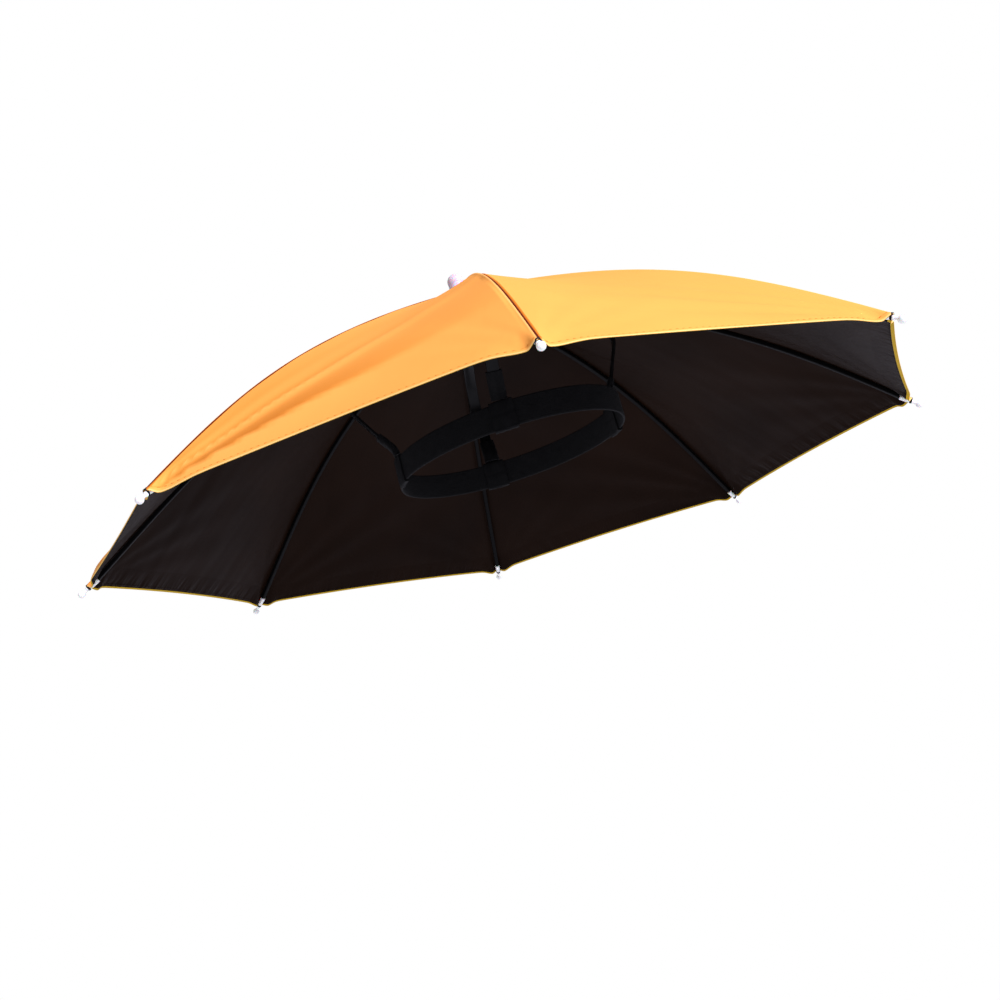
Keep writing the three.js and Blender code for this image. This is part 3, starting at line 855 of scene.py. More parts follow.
def tip_plastic(name):
    colour = bpy.context.scene.hat_frame.tip_colour
    grain = {"grain_scale": 700.0, "grain_depth": 0.05}
    glow = {"Transmission_Weight": 0.15, "IOR": 1.45, "Subsurface_Weight": 0.2, "Subsurface_Scale": 0.002}
    return plain_material(name, colour, roughness=0.18, tone=0.03, **grain, **glow)


def cap_plastic(name):
    colour = bpy.context.scene.hat_frame.cap_colour
    grain = {"grain_scale": 500.0, "grain_depth": 0.05}
    glow = {"Transmission_Weight": 0.1, "IOR": 1.45, "Subsurface_Weight": 0.7, "Subsurface_Scale": 0.008}
    return plain_material(name, colour, roughness=0.3, tone=0.03, Specular_IOR_Level=0.2, **grain, **glow)


def hub_plastic(name):
    colour = bpy.context.scene.hat_frame.hub_colour
    grain = {"grain_scale": 800.0, "grain_depth": 0.25}
    return plain_material(name, colour, roughness=0.4, tone=0.2, Specular_IOR_Level=0.15, **grain)


def leg_plastic(name):
    colour = bpy.context.scene.hat_frame.leg_colour
    grain = {"grain_scale": 600.0, "grain_depth": 0.1}
    return plain_material(name, colour, roughness=0.25, tone=0.2, Specular_IOR_Level=0.08, **grain)


def black_thread(name):
    colour = bpy.context.scene.hat_frame.tie_colour
    grain = {"grain_scale": 3000.0, "grain_depth": 0.6}
    return plain_material(name, colour, roughness=0.8, tone=0.3, Specular_IOR_Level=0.2, **grain)


def stitch_thread(name):
    settings = bpy.context.scene.hat_canopy
    colour = settings.lining_colour if name == "lining thread" else settings.thread_colour
    grain = {"grain_scale": 3000.0, "grain_depth": 0.4}
    return plain_material(name, colour, roughness=0.7, tone=0.1, Specular_IOR_Level=0.1, **grain)


def band_elastic(name):
    return webbing_material(name, bpy.context.scene.hat_band.colour, pitch=0.0008, shade=0.5, depth=0.6)


def tape_webbing(name):
    return webbing_material(name, bpy.context.scene.hat_band.tape_colour, pitch=0.0006, shade=0.45, depth=0.5)


FINISHES = {
    "canopy cloth": cloth_material,
    "canopy lining": lining_material,
    "cloth thread": stitch_thread,
    "lining thread": stitch_thread,
    "rib enamel": rib_enamel,
    "tip plastic": tip_plastic,
    "black thread": black_thread,
    "hub plastic": hub_plastic,
    "cap plastic": cap_plastic,
    "leg plastic": leg_plastic,
    "band elastic": band_elastic,
    "tape webbing": tape_webbing,
}


def finish(name):
    """A piece's material by its name, built once."""
    return bpy.data.materials.get(name) or FINISHES[name](name)


# The canopy's surface

def cloth_surface(gore, radius, across):
    """Points of the cloth's outer face, with no seams or folds."""
    first, second = rib_azimuth(gore), rib_azimuth(gore + 1)
    middle = 1 - (2 * across - 1) ** 2
    x = radius * (math.cos(first) * (1 - across) + math.cos(second) * across)
    y = radius * (math.sin(first) * (1 - across) + math.sin(second) * across)
    z = line_height(gore, radius) * (1 - across) + line_height(gore + 1, radius) * across
    sag = GORE_SAG * middle * np.sin(np.pi * radius / TIP_RADIUS)
    facing = rib_azimuth(gore + 0.5)
    level = sag * math.cos(SAG_SLOPE)
    x = x - level * math.cos(facing)
    y = y - level * math.sin(facing)
    return np.stack([x, y, z - sag * math.sin(SAG_SLOPE)], axis=-1)


def corner_folds(fan, along, up, height, reach):
    """The height of the folds round a tied corner, from the distances along the hem and up from it."""
    angles, shares = np.array(fan).T
    turned = np.degrees(np.arctan2(up, along))
    waves = sum(np.interp(turned + shift, angles, shares) for shift in (-1, 0, 1)) / 3
    rise = np.hypot(along, up) / (reach * FOLD_PEAK)
    return height * rise * np.exp(1 - rise) * waves


def deep_shade(along, up):
    """The share of the cloth's colour in the painted shadows of the deep folds."""
    angles, shares = np.array(DEEP_SHADE).T
    reach = CORNER_FOLDS[DEEP_GORE][1]
    rise = np.hypot(along, up) / (reach * FOLD_PEAK)
    part = np.minimum(1, rise * SHADE_START) * np.exp(-(np.maximum(rise - SHADE_REACH, 0) ** 2))
    shade = 1 + (np.interp(np.degrees(np.arctan2(up, along)), angles, shares) - 1) * part
    return np.stack([shade**power for power in SHADE_POWERS], axis=-1)


def ramp(value, start, end):
    """The share of the way from start to end, from 0 to 1."""
    return np.clip((value - start) / (end - start), 0, 1)


def eased(value, start, end):
    """A ramp that starts and ends softly."""
    part = ramp(value, start, end)
    return part**2 * (3 - 2 * part)


def corner_wrap(gore, side, to_hem):
    """How far the cloth is drawn down beside a tip."""
    away = np.maximum(side - CORNER_WRAP[1], 0) / HEM_DROP[gore][2]
    return CORNER_DROP * eased(side, *CORNER_WRAP) * np.exp(-(away**2) - (to_hem / CORNER_REACH) ** 2)


def hem_drop(gore, from_start, from_end, to_hem):
    """How far a gore's hem hangs down between its corners."""
    height, reach, _ = HEM_DROP[gore]
    inside = eased(np.minimum(from_start, from_end), 0, HEM_DROP_ENDS)
    return height * inside * np.exp(-((from_start / reach) ** 2) - (to_hem / HEM_DROP_UP) ** 2)


def section_columns(section):
    """A section's distances and heights in metres, and its shares of red, green and blue."""
    distance, height = np.array([row[:2] for row in section]).T / 1000
    return distance, height, np.array([row[2] for row in section]).T


def gore_grid(gore):
    """One gore's grid of cloth, in rows from the crown to the hem and columns from seam to seam."""
    seam_at, seam_height, seam_shade = section_columns(SEAM_SECTION)
    hem_at, hem_height, hem_shade = section_columns(HEM_SECTION)
    hem_rows = hem_at[::-1]
    down = np.concatenate([np.linspace(0, 1, GORE_ROWS) ** ROW_CROWDING, np.ones(len(hem_rows))])[:, None]
    back = np.concatenate([np.full(GORE_ROWS, hem_rows[0] + HEM_ROOM), hem_rows])[:, None]
    at_rib = CROWN_HOLE + (HEM_RADIUS - back - CROWN_HOLE) * down
    across_all = 2 * math.sin(RIB_ANGLE / 2)
    size = np.minimum(1, at_rib * across_all / SEAM_ROOM) * (1 - SEAM_TAPER * at_rib / HEM_RADIUS)
    first = seam_at[seam_at >= 0] * size / (at_rib * across_all)
    last = 1 + seam_at[seam_at < 0] * size / (at_rib * across_all)
    even = np.linspace(0, 1, GORE_COLUMNS)
    spread = even - COLUMN_CROWDING * np.sin(math.tau * even) / math.tau
    between = first[:, -1:] + (last[:, :1] - first[:, -1:]) * spread
    across = np.concatenate([first, between[:, 1:-1], last], axis=1)
    middle = 1 - (2 * across - 1) ** 2
    hem = HEM_RADIUS - HEM_BOW * middle
    radius = CROWN_HOLE + (hem - back - CROWN_HOLE) * down
    chord = radius * across_all
    from_start, from_end = across * chord, (1 - across) * chord
    side = np.minimum(from_start, from_end)
    to_hem = hem - radius
    from_seam = np.where(across < 0.5, from_start, -from_end) / size
    relief = np.interp(from_seam, seam_at, seam_height) * size * ramp(to_hem, *SEAM_FADE)
    relief += np.interp(to_hem, hem_at, hem_height)
    relief -= corner_wrap(gore, side, to_hem)
    relief -= hem_drop(gore, from_start, from_end, to_hem)
    relief += gore_folds(gore, from_start, from_end, to_hem) * ramp(side, 0, FOLD_FADE[0])
    # Painted light and shade: a painted highlight on the seam's folded edge and the hem's rolled edge,
    # painted shade in the seam's groove and tuck and in the deep folds' shadows.
    shade = np.stack([np.interp(from_seam, seam_at, part) for part in seam_shade], axis=-1)
    shade = shade * np.stack([np.interp(to_hem, hem_at, part) for part in hem_shade], axis=-1)
    if gore == DEEP_GORE:
        shade = shade * deep_shade(from_start, to_hem)
    allowance = np.where((from_seam > 0) & (from_seam < SEAM_ALLOWANCE), ALLOWANCE_DEPTH, 0) * size
    return {
        "outer": cloth_surface(gore, radius, across),
        "relief": relief,
        "shade": shade,
        "to_hem": to_hem,
        "inside": to_hem - HEM_INSIDE[gore],
        "depth": bpy.context.scene.hat_canopy.thickness + allowance,
        "sideways": from_start - chord / 2,
        "width": chord,
    }


def gore_folds(gore, from_start, from_end, to_hem):
    """The height of a gore's folds: two fans from its corners and a soft unevenness."""
    height_1, reach_1, height_2, reach_2 = CORNER_FOLDS[gore]
    fan = DEEP_FAN if gore == DEEP_GORE else FOLD_FAN
    folds = corner_folds(fan, from_start, to_hem, height_1, reach_1)
    folds += corner_folds(FOLD_FAN, from_end, to_hem, height_2, reach_2)
    along, up, up_again = UNEVEN_WAVES
    waves = np.sin(from_start * along + to_hem * up + gore) * np.sin(to_hem * up_again + gore * 2)
    folds += UNEVEN_HEIGHT * waves
    swollen, at_side, at_hem, reach, height = SWELLING
    if gore == swollen:
        folds += height * np.exp(-(((from_start - at_side) / reach) ** 2) - ((to_hem - at_hem) / reach) ** 2)
    return folds * bpy.context.scene.hat_canopy.fold_share * ramp(to_hem, 0, FOLD_FADE[1])


def canopy_grid():
    """The whole cloth's grid, with its outer and inner points."""
    gores = [gore_grid(gore) for gore in range(len(RIBS))]
    grid = {key: np.concatenate([gore[key] for gore in gores], axis=1) for key in gores[0]}
    smooth = grid["outer"]
    sideways = np.roll(smooth, -1, axis=1) - np.roll(smooth, 1, axis=1)
    normal = np.cross(np.gradient(smooth, axis=0), sideways)
    normal /= np.linalg.norm(normal, axis=2, keepdims=True)
    grid["outer"] = smooth + normal * grid["relief"][..., None]
    grid["inner"] = grid["outer"] - normal * grid["depth"][..., None]
    steps = np.linalg.norm(np.diff(smooth, axis=0), axis=2)
    grid["fallen"] = np.concatenate([np.zeros((1, smooth.shape[1])), np.cumsum(steps, axis=0)])
    return grid


def canopy_mesh(grid, cloth, lining):
    """One closed sheet: the outer face, the inner face, and the edges at the crown's hole and at the hem."""
    rows, columns = grid["to_hem"].shape
    per_gore = columns // len(RIBS)
    cells = np.arange(rows * columns).reshape(rows, columns)
    layer = rows * columns
    faces, uv, slots = [], [], []
    fallen, left = grid["fallen"], grid["sideways"]
    for j in range(columns):
        k = (j + 1) % columns
        right = grid["width"][:, k] / 2 if k % per_gore == 0 else left[:, k]
        for i in range(rows - 1):
            a, b, c, d = cells[i, j], cells[i + 1, j], cells[i + 1, k], cells[i, k]
            low = i + 1
            spots = ((left[i, j], fallen[i, j]), (left[low, j], fallen[low, j]))
            spots += ((right[low], fallen[low, k]), (right[i], fallen[i, k]))
            faces.append((a, b, c, d))
            uv += spots
            faces.append((layer + a, layer + d, layer + c, layer + b))
            uv += (spots[0], spots[3], spots[2], spots[1])
            slots += (0, 0 if grid["inside"][i, j] < 0 else 1)
        for row, flip in ((0, True), (rows - 1, False)):
            a, d = cells[row, j], cells[row, k]
            ring = (a, layer + a, layer + d, d)
            near, far = (left[row, j], fallen[row, j]), (right[row], fallen[row, k])
            spots = (near, (near[0], near[1] + HEM_EDGE), (far[0], far[1] + HEM_EDGE), far)
            faces.append(tuple(reversed(ring)) if flip else ring)
            uv += reversed(spots) if flip else spots
            slots.append(0)
    points = np.concatenate([grid["outer"].reshape(-1, 3), grid["inner"].reshape(-1, 3)])
    mesh = new_mesh("canopy", points, faces, [cloth, lining], uv)
    mesh.polygons.foreach_set("material_index", slots)
    to_hem = np.tile(grid["to_hem"].ravel(), 2).astype(np.float32)
    mesh.attributes.new("to_hem", "FLOAT", "POINT").data.foreach_set("value", to_hem)
    # Painted light and shade for the cloth's colour: on the outer face from the seams, hem and deep folds,
    # and painted shade on the turned hem inside.
    outer_shade = grid["shade"].reshape(-1, 3)
    shade = np.concatenate([outer_shade, np.full_like(outer_shade, HEM_INSIDE_PAINTED_SHADE)]).astype(np.float32)
    mesh.attributes.new("painted_light_and_shade", "FLOAT_VECTOR", "POINT").data.foreach_set("vector", shade.ravel())
    return mesh


def stitch_line(grid, layer):
    """For each gore, the line of the hem's stitches on one layer, raised a little off it."""
    rows = grid["to_hem"][:, 0]
    row = int(np.argmin(np.abs(rows - STITCH_LINE)))
    points = grid[layer][row]
    other = grid["inner" if layer == "outer" else "outer"][row]
    away = points - other
    away /= np.linalg.norm(away, axis=1, keepdims=True)
    points = points + away * STITCH_LIFT
    per_gore = len(points) // len(RIBS)
    after, before = STITCH_ENDS
    return [points[g * per_gore + after : (g + 1) * per_gore - before] for g in range(len(RIBS))]


# Sizes and colours that a user would change

class HatCanopySettings(bpy.types.PropertyGroup):
    thickness: FloatProperty(
        name="Cloth thickness", description="Thickness of the cloth",
        default=0.00045, unit="LENGTH", precision=5
    )
    fold_share: FloatProperty(
        name="Folds", description="How deep the folds at the tied corners are",
        default=1.0, subtype="FACTOR"
    )
    thread: FloatProperty(
        name="Thread pitch", description="Distance from thread to thread",
        default=0.0005, unit="LENGTH", precision=5
    )
    cloth_colour: FloatVectorProperty(
        name="Cloth", description="Colour of the outer face",
        default=(0.83, 0.338, 0.064), subtype="COLOR"
    )
    lining_colour: FloatVectorProperty(
        name="Lining", description="Colour of the coated inner face",
        default=(0.0094, 0.0045, 0.0025), subtype="COLOR"
    )
    thread_colour: FloatVectorProperty(
        name="Thread", description="Colour of the hem's stitches",
        default=(0.55, 0.2, 0.03), subtype="COLOR"
    )


class HatFrameSettings(bpy.types.PropertyGroup):
    rib_wall: FloatProperty(
        name="Rib wall", description="Thickness of the ribs' steel",
        default=0.0006, unit="LENGTH", precision=5
    )
    rib_colour: FloatVectorProperty(
        name="Ribs", description="Colour of the ribs' enamel",
        default=(0.003, 0.003, 0.003), subtype="COLOR"
    )
    tip_colour: FloatVectorProperty(
        name="Tips", description="Colour of the tips' plastic",
        default=(0.88, 0.9, 0.84), subtype="COLOR"
    )
    cap_colour: FloatVectorProperty(
        name="Cap", description="Colour of the crown's cap",
        default=(0.64, 0.56, 0.64), subtype="COLOR"
    )
    hub_colour: FloatVectorProperty(
        name="Hub", description="Colour of the hub's plastic",
        default=(0.01, 0.01, 0.01), subtype="COLOR"
    )
    leg_colour: FloatVectorProperty(
        name="Legs", description="Colour of the legs' plastic",
        default=(0.006, 0.006, 0.006), subtype="COLOR"
    )
    tie_colour: FloatVectorProperty(
        name="Ties", description="Colour of the thread round the tips",
        default=(0.006, 0.006, 0.006), subtype="COLOR"
    )


class HatBandSettings(bpy.types.PropertyGroup):
    ridges: IntProperty(name="Ridges", description="Lengthwise ridges across the elastic", default=13, min=1)
    ridge_height: FloatProperty(
        name="Ridge height", description="Height of a ridge",
        default=0.00012, unit="LENGTH", precision=5
    )
    colour: FloatVectorProperty(
        name="Elastic", description="Colour of the headband",
        default=(0.0065, 0.0065, 0.0065), subtype="COLOR"
    )
    tape_colour: FloatVectorProperty(
        name="Tape", description="Colour of keepers and sleeves",
        default=(0.0055, 0.0055, 0.0055), subtype="COLOR"
    )


class HatStageSettings(bpy.types.PropertyGroup):
    floor_depth: FloatProperty(
        name="Floor", description="The floor below the headband of a standing wearer",
        default=1.65, unit="LENGTH"
    )
    floor_colour: FloatVectorProperty(
        name="Floor colour", description="Colour of the floor",
        default=(0.88, 0.88, 0.88), subtype="COLOR"
    )
    dome: FloatProperty(name="Dome", description="Light from all around", default=0.42)
    key: FloatProperty(name="Key", description="Strength of the key light", default=5.4)
    lens: FloatProperty(name="Lens", description="Focal length", default=46.87, unit="CAMERA")


class HAT_OT_canopy(bpy.types.Operator):
    """Build the canopy of eight sewn gores as one sheet of cloth"""

    bl_idname = "hat.canopy"
    bl_label = "Canopy"

    def execute(self, context):
        grid = canopy_grid()
        mesh = canopy_mesh(grid, finish("canopy cloth"), finish("canopy lining"))
        piece = add_piece("canopy", mesh, [f"gore_{i + 1}" for i in range(len(RIBS))])
        return {"FINISHED"}


class HAT_OT_hem_stitches(bpy.types.Operator):
    """Sew the hem with a line of stitches on each face"""

    bl_idname = "hat.hem_stitches"
    bl_label = "Hem stitches"

    def execute(self, context):
        grid = canopy_grid()
        self.sew("hem_stitches", stitch_line(grid, "outer"), finish("cloth thread"))
        self.sew("lining_stitches", stitch_line(grid, "inner"), finish("lining thread"))
        return {"FINISHED"}

    def sew(self, name, lines, thread):
        values = {**STITCH, "Seed": 11, "Material": thread}
        add_piece(name, grown(name, curve_object("hem line", lines), stitch_tree(), values))


class HAT_OT_ribs(bpy.types.Operator):
    """Build the eight folded steel ribs"""

    bl_idname = "hat.ribs"
    bl_label = "Ribs"

    def execute(self, context):
        lines = []
        for rib in range(len(RIBS)):
            radii = np.linspace(HUB_RADIUS - RIB_IN_HUB, tip_frame(rib)[0] - GAP, RIB_STATIONS)
            over = CLOTH + GAP
            depths = [over + crease_fall(rib, r) * RIB_WIDTH / 2 + RIB_DEPTH / 2 for r in radii]
            lines.append([turned_out(under_line(rib, r, d), rib_azimuth(rib)) for r, d in zip(radii, depths)])
        section = self.channel_section(context.scene.hat_frame.rib_wall)
        values = {"Profile": section, "Material": finish("rib enamel")}
        mesh = grown("ribs", curve_object("rib lines", lines), sweep_tree(), values)
        bpy.data.objects.remove(section)
        mesh.set_sharp_from_angle(angle=math.radians(50))
        add_piece("ribs", mesh, [f"rib_{name}" for name in NAMES])
        return {"FINISHED"}

    def channel_section(self, wall):
        """The section of a folded channel that is open at its back, as a closed curve."""
        half, floor = RIB_WIDTH / 2, -RIB_DEPTH / 2
        corner, rim = floor + wall, RIB_DEPTH / 2 - wall / 2
        outer = arc((-half + wall, corner), wall, 180, 270, 4) + arc((half - wall, corner), wall, 270, 360, 4)
        right = arc((half - wall / 2, rim), wall / 2, 0, 180, 4)
        inner = [(half - wall, floor + wall * RIB_FLOOR), (wall - half, floor + wall * RIB_FLOOR)]
        left = [(-x, y) for x, y in reversed(right)]
        points = [(x, -y, 0) for x, y in (*outer, *right, *inner, *left)]
        return curve_object("rib section", [points], cyclic=True)


class HAT_OT_tips(bpy.types.Operator):
    """Build the eight beaded tips and the threads that tie the cloth to them"""

    bl_idname = "hat.tips"
    bl_label = "Tips and ties"

    def execute(self, context):
        places, directions, ties = [], [], []
        for rib in range(len(RIBS)):
            _, along, bead = tip_frame(rib)
            azimuth = rib_azimuth(rib)
            places.append(turned_out(bead, azimuth))
            directions.append(turned_out(along, azimuth))
            ties.append(turned_out(bead - along * (TIP_LENGTH - SLEEVE_LENGTH - TIE_LENGTH / 2), azimuth))
        nodes = [f"tip_{name}" for name in NAMES]
        self.add("tips", self.tip_mesh(), finish("tip plastic"), places, directions, nodes)
        self.add("thread_ties", self.tie_mesh(), finish("black thread"), ties, directions)
        return {"FINISHED"}

    def add(self, name, mesh, material, places, directions, nodes=()):
        """Eight copies of a mesh as one piece."""
        pattern = bpy.data.objects.new(name + " pattern", mesh)
        values = {"Piece": pattern, "Material": material}
        made = grown(name, carrier_object(name + " points", places, directions), carried_tree(), values)
        bpy.data.objects.remove(pattern)
        made.set_sharp_from_angle(angle=math.radians(40))
        add_piece(name, made, nodes)

    def tip_mesh(self):
        """A tip along its x axis, with the bead's centre at the origin."""
        start = -TIP_LENGTH
        tie = start + SLEEVE_LENGTH
        collar = tie + TIE_LENGTH
        neck = collar + COLLAR_LENGTH
        profile = [
            (0, start),
            (SLEEVE_RADIUS - TIP_EDGE, start),
            (SLEEVE_RADIUS, start + TIP_EDGE),
            (SLEEVE_RADIUS, start + SLEEVE_LENGTH * SLEEVE_STRAIGHT),
            (SLEEVE_END_RADIUS + TIP_EDGE, tie - TIP_EDGE),
            (SLEEVE_END_RADIUS - TIP_EDGE / 2, tie),
            (TIE_RADIUS, tie + TIP_EDGE / 2),
            (TIE_RADIUS, collar - TIP_EDGE / 2),
            (COLLAR_RADIUS - TIP_EDGE, collar),
            (COLLAR_RADIUS, collar + TIP_EDGE),
            (COLLAR_RADIUS, neck - TIP_EDGE),
            (COLLAR_RADIUS - TIP_EDGE, neck),
            (NECK_RADIUS * NECK_FLARE, neck + TIP_EDGE),
            (NECK_RADIUS, neck + NECK_LENGTH * NECK_STRAIGHT),
            *arc((0, 0), BEAD_RADIUS, *BEAD_ARC, 16),
            (0, BEAD_RADIUS),
        ]
        mesh = turned_mesh("tip", profile, None, segments=32)
        mesh.transform(Matrix.Rotation(math.pi / 2, 4, "Y"))
        return mesh

    def tie_mesh(self):
        """Turns of thread round the waist and the cloth's corner, along the x axis."""
        sections = []
        for i in range(TIE_TURNS * TIE_STEPS + 1):
            angle = math.tau * i / TIE_STEPS
            beside = math.cos(angle) * (TIE_RADIUS + TIE_BESIDE)
            out = Vector((0, beside, math.sin(angle) * (TIE_RADIUS + TIE_ABOVE)))
            x = TIE_LENGTH * (i / (TIE_TURNS * TIE_STEPS) - 0.5) * TIE_SPREAD
            centre = Vector((x, 0, TIE_LIFT)) + out
            side = out.normalized()
            angles = np.linspace(0, math.tau, 6, endpoint=False)
            ring = [side * math.cos(a) + Vector((math.sin(a), 0, 0)) for a in angles]
            sections.append([centre + TIE_THREAD * way for way in ring])
        points, faces, _ = loft(sections)
        return new_mesh("tie", points, faces, [None])


class HAT_OT_hub(bpy.types.Operator):
    """Build the hub that the ribs and legs meet in"""

    bl_idname = "hat.hub"
    bl_label = "Hub"

    def execute(self, context):
        low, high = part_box("hub")
        disc_top = self.disc_top()
        disc_low = disc_top - HUB_DISC
        foot_top = LEG_END + FOOT_THICKNESS / 2
        profile = [
            (0, low.z),
            (FOOT_RADIUS - HUB_EDGE, low.z),
            (FOOT_RADIUS, low.z + HUB_EDGE),
            (FOOT_RADIUS, foot_top - HUB_EDGE),
            (FOOT_RADIUS - HUB_EDGE, foot_top),
            (CORE_RADIUS + HUB_EDGE, foot_top),
            (CORE_RADIUS, foot_top + HUB_EDGE),
            (CORE_RADIUS, disc_low - HUB_EDGE),
            (CORE_RADIUS + HUB_EDGE, disc_low),
            (HUB_RADIUS - HUB_EDGE, disc_low),
            (HUB_RADIUS, disc_low + HUB_EDGE),
            (HUB_RADIUS, disc_top - HUB_EDGE),
            (HUB_RADIUS - HUB_EDGE, disc_top),
            (STEM_RADIUS, disc_top),
            (STEM_RADIUS, high.z - HUB_EDGE),
            (STEM_RADIUS - HUB_EDGE, high.z),
            (0, high.z),
        ]
        hub = bpy.data.objects.new("hub body", turned_mesh("hub", profile, None, segments=96))
        cutter = bpy.data.objects.new("hub slots", self.slots_mesh(disc_top))
        for thing in (hub, cutter):
            context.scene.collection.objects.link(thing)
        cut = hub.modifiers.new("slots", "BOOLEAN")
        cut.object = cutter
        cut.operation = "DIFFERENCE"
        cut.solver = "EXACT"
        graph = context.evaluated_depsgraph_get()
        mesh = bpy.data.meshes.new_from_object(hub.evaluated_get(graph), depsgraph=graph)
        for thing in (hub, cutter):
            bpy.data.objects.remove(thing)
        mesh.materials.clear()
        mesh.materials.append(finish("hub plastic"))
        mesh.set_sharp_from_angle(angle=math.radians(30))
        add_piece("hub_body", mesh, ["hub"])
        return {"FINISHED"}

    def disc_top(self):
        """The disc stays under the cloth in the middle of a gore."""
        radius = HUB_RADIUS / math.cos(RIB_ANGLE / 2)
        point = cloth_surface(0, np.array([[radius]]), np.array([[0.5]]))[0, 0]
        return float(point[2]) - HUB_UNDER_CLOTH - GAP

    def slots_mesh(self, disc_top):
        """Boxes that cut the slots for the ribs and the legs."""
        points, faces, boxes = [], [], []
        for rib in range(len(RIBS)):
            inner = HUB_RADIUS - RIB_IN_HUB - SLOT_BEHIND
            deep = under_line(rib, HUB_RADIUS + CLOTH + RIB_DEPTH, CLOTH + GAP + RIB_DEPTH + SLOT_UNDER).y
            size = Vector((HUB_RADIUS, RIB_WIDTH / 2 + GAP, disc_top - deep))
            boxes.append((rib, inner, size, disc_top))
        for rib in LEG_RIBS:
            inner = FOOT_RADIUS - LEG_IN_HUB - GAP
            size = Vector((FOOT_RADIUS, LEG_WIDTH / 2 + GAP, LEG_THICKNESS / 2 + GAP))
            boxes.append((rib, inner, size, LEG_END))
        for rib, inner, size, z in boxes:
            base = len(points)
            for out, side, up in ((a, b, c) for a in (0, 1) for b in (-1, 1) for c in (-1, 1)):
                at = (inner + out * size.x, z + up * size.z)
                points.append(turned_out(at, rib_azimuth(rib), side * size.y))
            quads = ((0, 1, 3, 2), (4, 6, 7, 5), (0, 4, 5, 1), (2, 3, 7, 6), (0, 2, 6, 4), (1, 5, 7, 3))
            faces += [tuple(base + i for i in quad) for quad in quads]
        return new_mesh("slots", points, faces, [])


class HAT_OT_cap(bpy.types.Operator):
    """Build the round knob on the crown"""

    bl_idname = "hat.cap"
    bl_label = "Cap"

    def execute(self, context):
        top = CROWN + CAP_HEIGHT
        knob = top - KNOB_RADIUS
        socket = STEM_RADIUS + GAP
        seat = [(r, crown_height(r) + 2 * GAP) for r in (socket, FLANGE_RADIUS - FLANGE_INSET)]
        rim = crown_height(FLANGE_RADIUS) + 2 * GAP
        half = FLANGE_EDGE / 2
        waist, under = KNOB_WAIST
        profile = [
            (0, CROWN + STEM_IN_CAP + GAP),
            (socket, CROWN + STEM_IN_CAP + GAP),
            *seat,
            *arc((FLANGE_RADIUS - half, rim + half), half, -90, 80, 6),
            *[(KNOB_RADIUS * out, rim + FLANGE_EDGE * up) for out, up in KNOB_NECK],
            (KNOB_RADIUS * waist, knob - KNOB_RADIUS * under),
            *arc((0, knob), KNOB_RADIUS, *KNOB_ARC, 16),
            (0, top),
        ]
        mesh = turned_mesh("crown_cap", profile, finish("cap plastic"))
        add_piece("crown_cap", mesh, ["cap"])
        return {"FINISHED"}


class HAT_OT_legs(bpy.types.Operator):
    """Build the four bent legs"""

    bl_idname = "hat.legs"
    bl_label = "Legs"

    def execute(self, context):
        section = rounded_rectangle(LEG_WIDTH, LEG_THICKNESS, LEG_THICKNESS * LEG_ROUNDING)
        for rib in LEG_RIBS:
            route = leg_route(rib)
            sections = []
            for i, point in enumerate(route):
                along = (route[min(i + 1, len(route) - 1)] - route[max(i - 1, 0)]).normalized()
                out = Vector((along.y, -along.x))
                sections.append([turned_out(point + out * y, rib_azimuth(rib), x) for x, y in section])
            points, faces, uv = loft(sections)
            name = f"bent_leg_{NAMES[rib]}"
            mesh = new_mesh(name, points, faces, [finish("leg plastic")], uv, math.radians(50))
            add_piece(name, mesh, [f"leg_{NAMES[rib]}"])
        return {"FINISHED"}


class HAT_OT_headband(bpy.types.Operator):
    """Build the ribbed elastic headband"""

    bl_idname = "hat.headband"
    bl_label = "Headband"

    def execute(self, context):
        section = self.ridged_section(context.scene.hat_band)
        sections = []
        for i in range(BAND_STATIONS):
            angle = math.tau * i / BAND_STATIONS
            centre, out = band_point(angle, 0), band_outwards(angle)
            sections.append([centre + out * x + Vector((0, 0, z)) for x, z in section])
        points, faces, uv = loft(sections, looped=True)
        faces = [tuple(reversed(face)) for face in faces]
        uv = [corner for i in range(0, len(uv), 4) for corner in reversed(uv[i : i + 4])]
        mesh = new_mesh("elastic_band", points, faces, [finish("band elastic")], uv)
        piece = add_piece("elastic_band", mesh, ["headband"])
        return {"FINISHED"}

    def ridged_section(self, settings):
        """The elastic's section with lengthwise ridges on both faces, as (outwards, upwards)."""
        edge = BAND_THICKNESS / 2
        flat = BAND_HEIGHT / 2 - edge
        steps = settings.ridges * RIDGE_STEPS
        face = []
        for i in range(steps + 1):
            share = i / steps
            height = settings.ridge_height * (abs(math.sin(math.pi * settings.ridges * share)) - 1)
            face.append((edge + height, -flat + 2 * flat * share))
        top = arc((0, flat), edge - settings.ridge_height, 20, 160, 7)
        back = [(-x, z) for x, z in reversed(face)]
        bottom = arc((0, -flat), edge - settings.ridge_height, 200, 340, 7)
        return [*face, *top, *back, *bottom]


def wave(row, along, around, number):
    """One wave of the wrinkles on a tape, from its row of values."""
    height, waves_along, waves_around, shift = row
    return height * math.sin(along * waves_along + around * waves_around + number * shift)


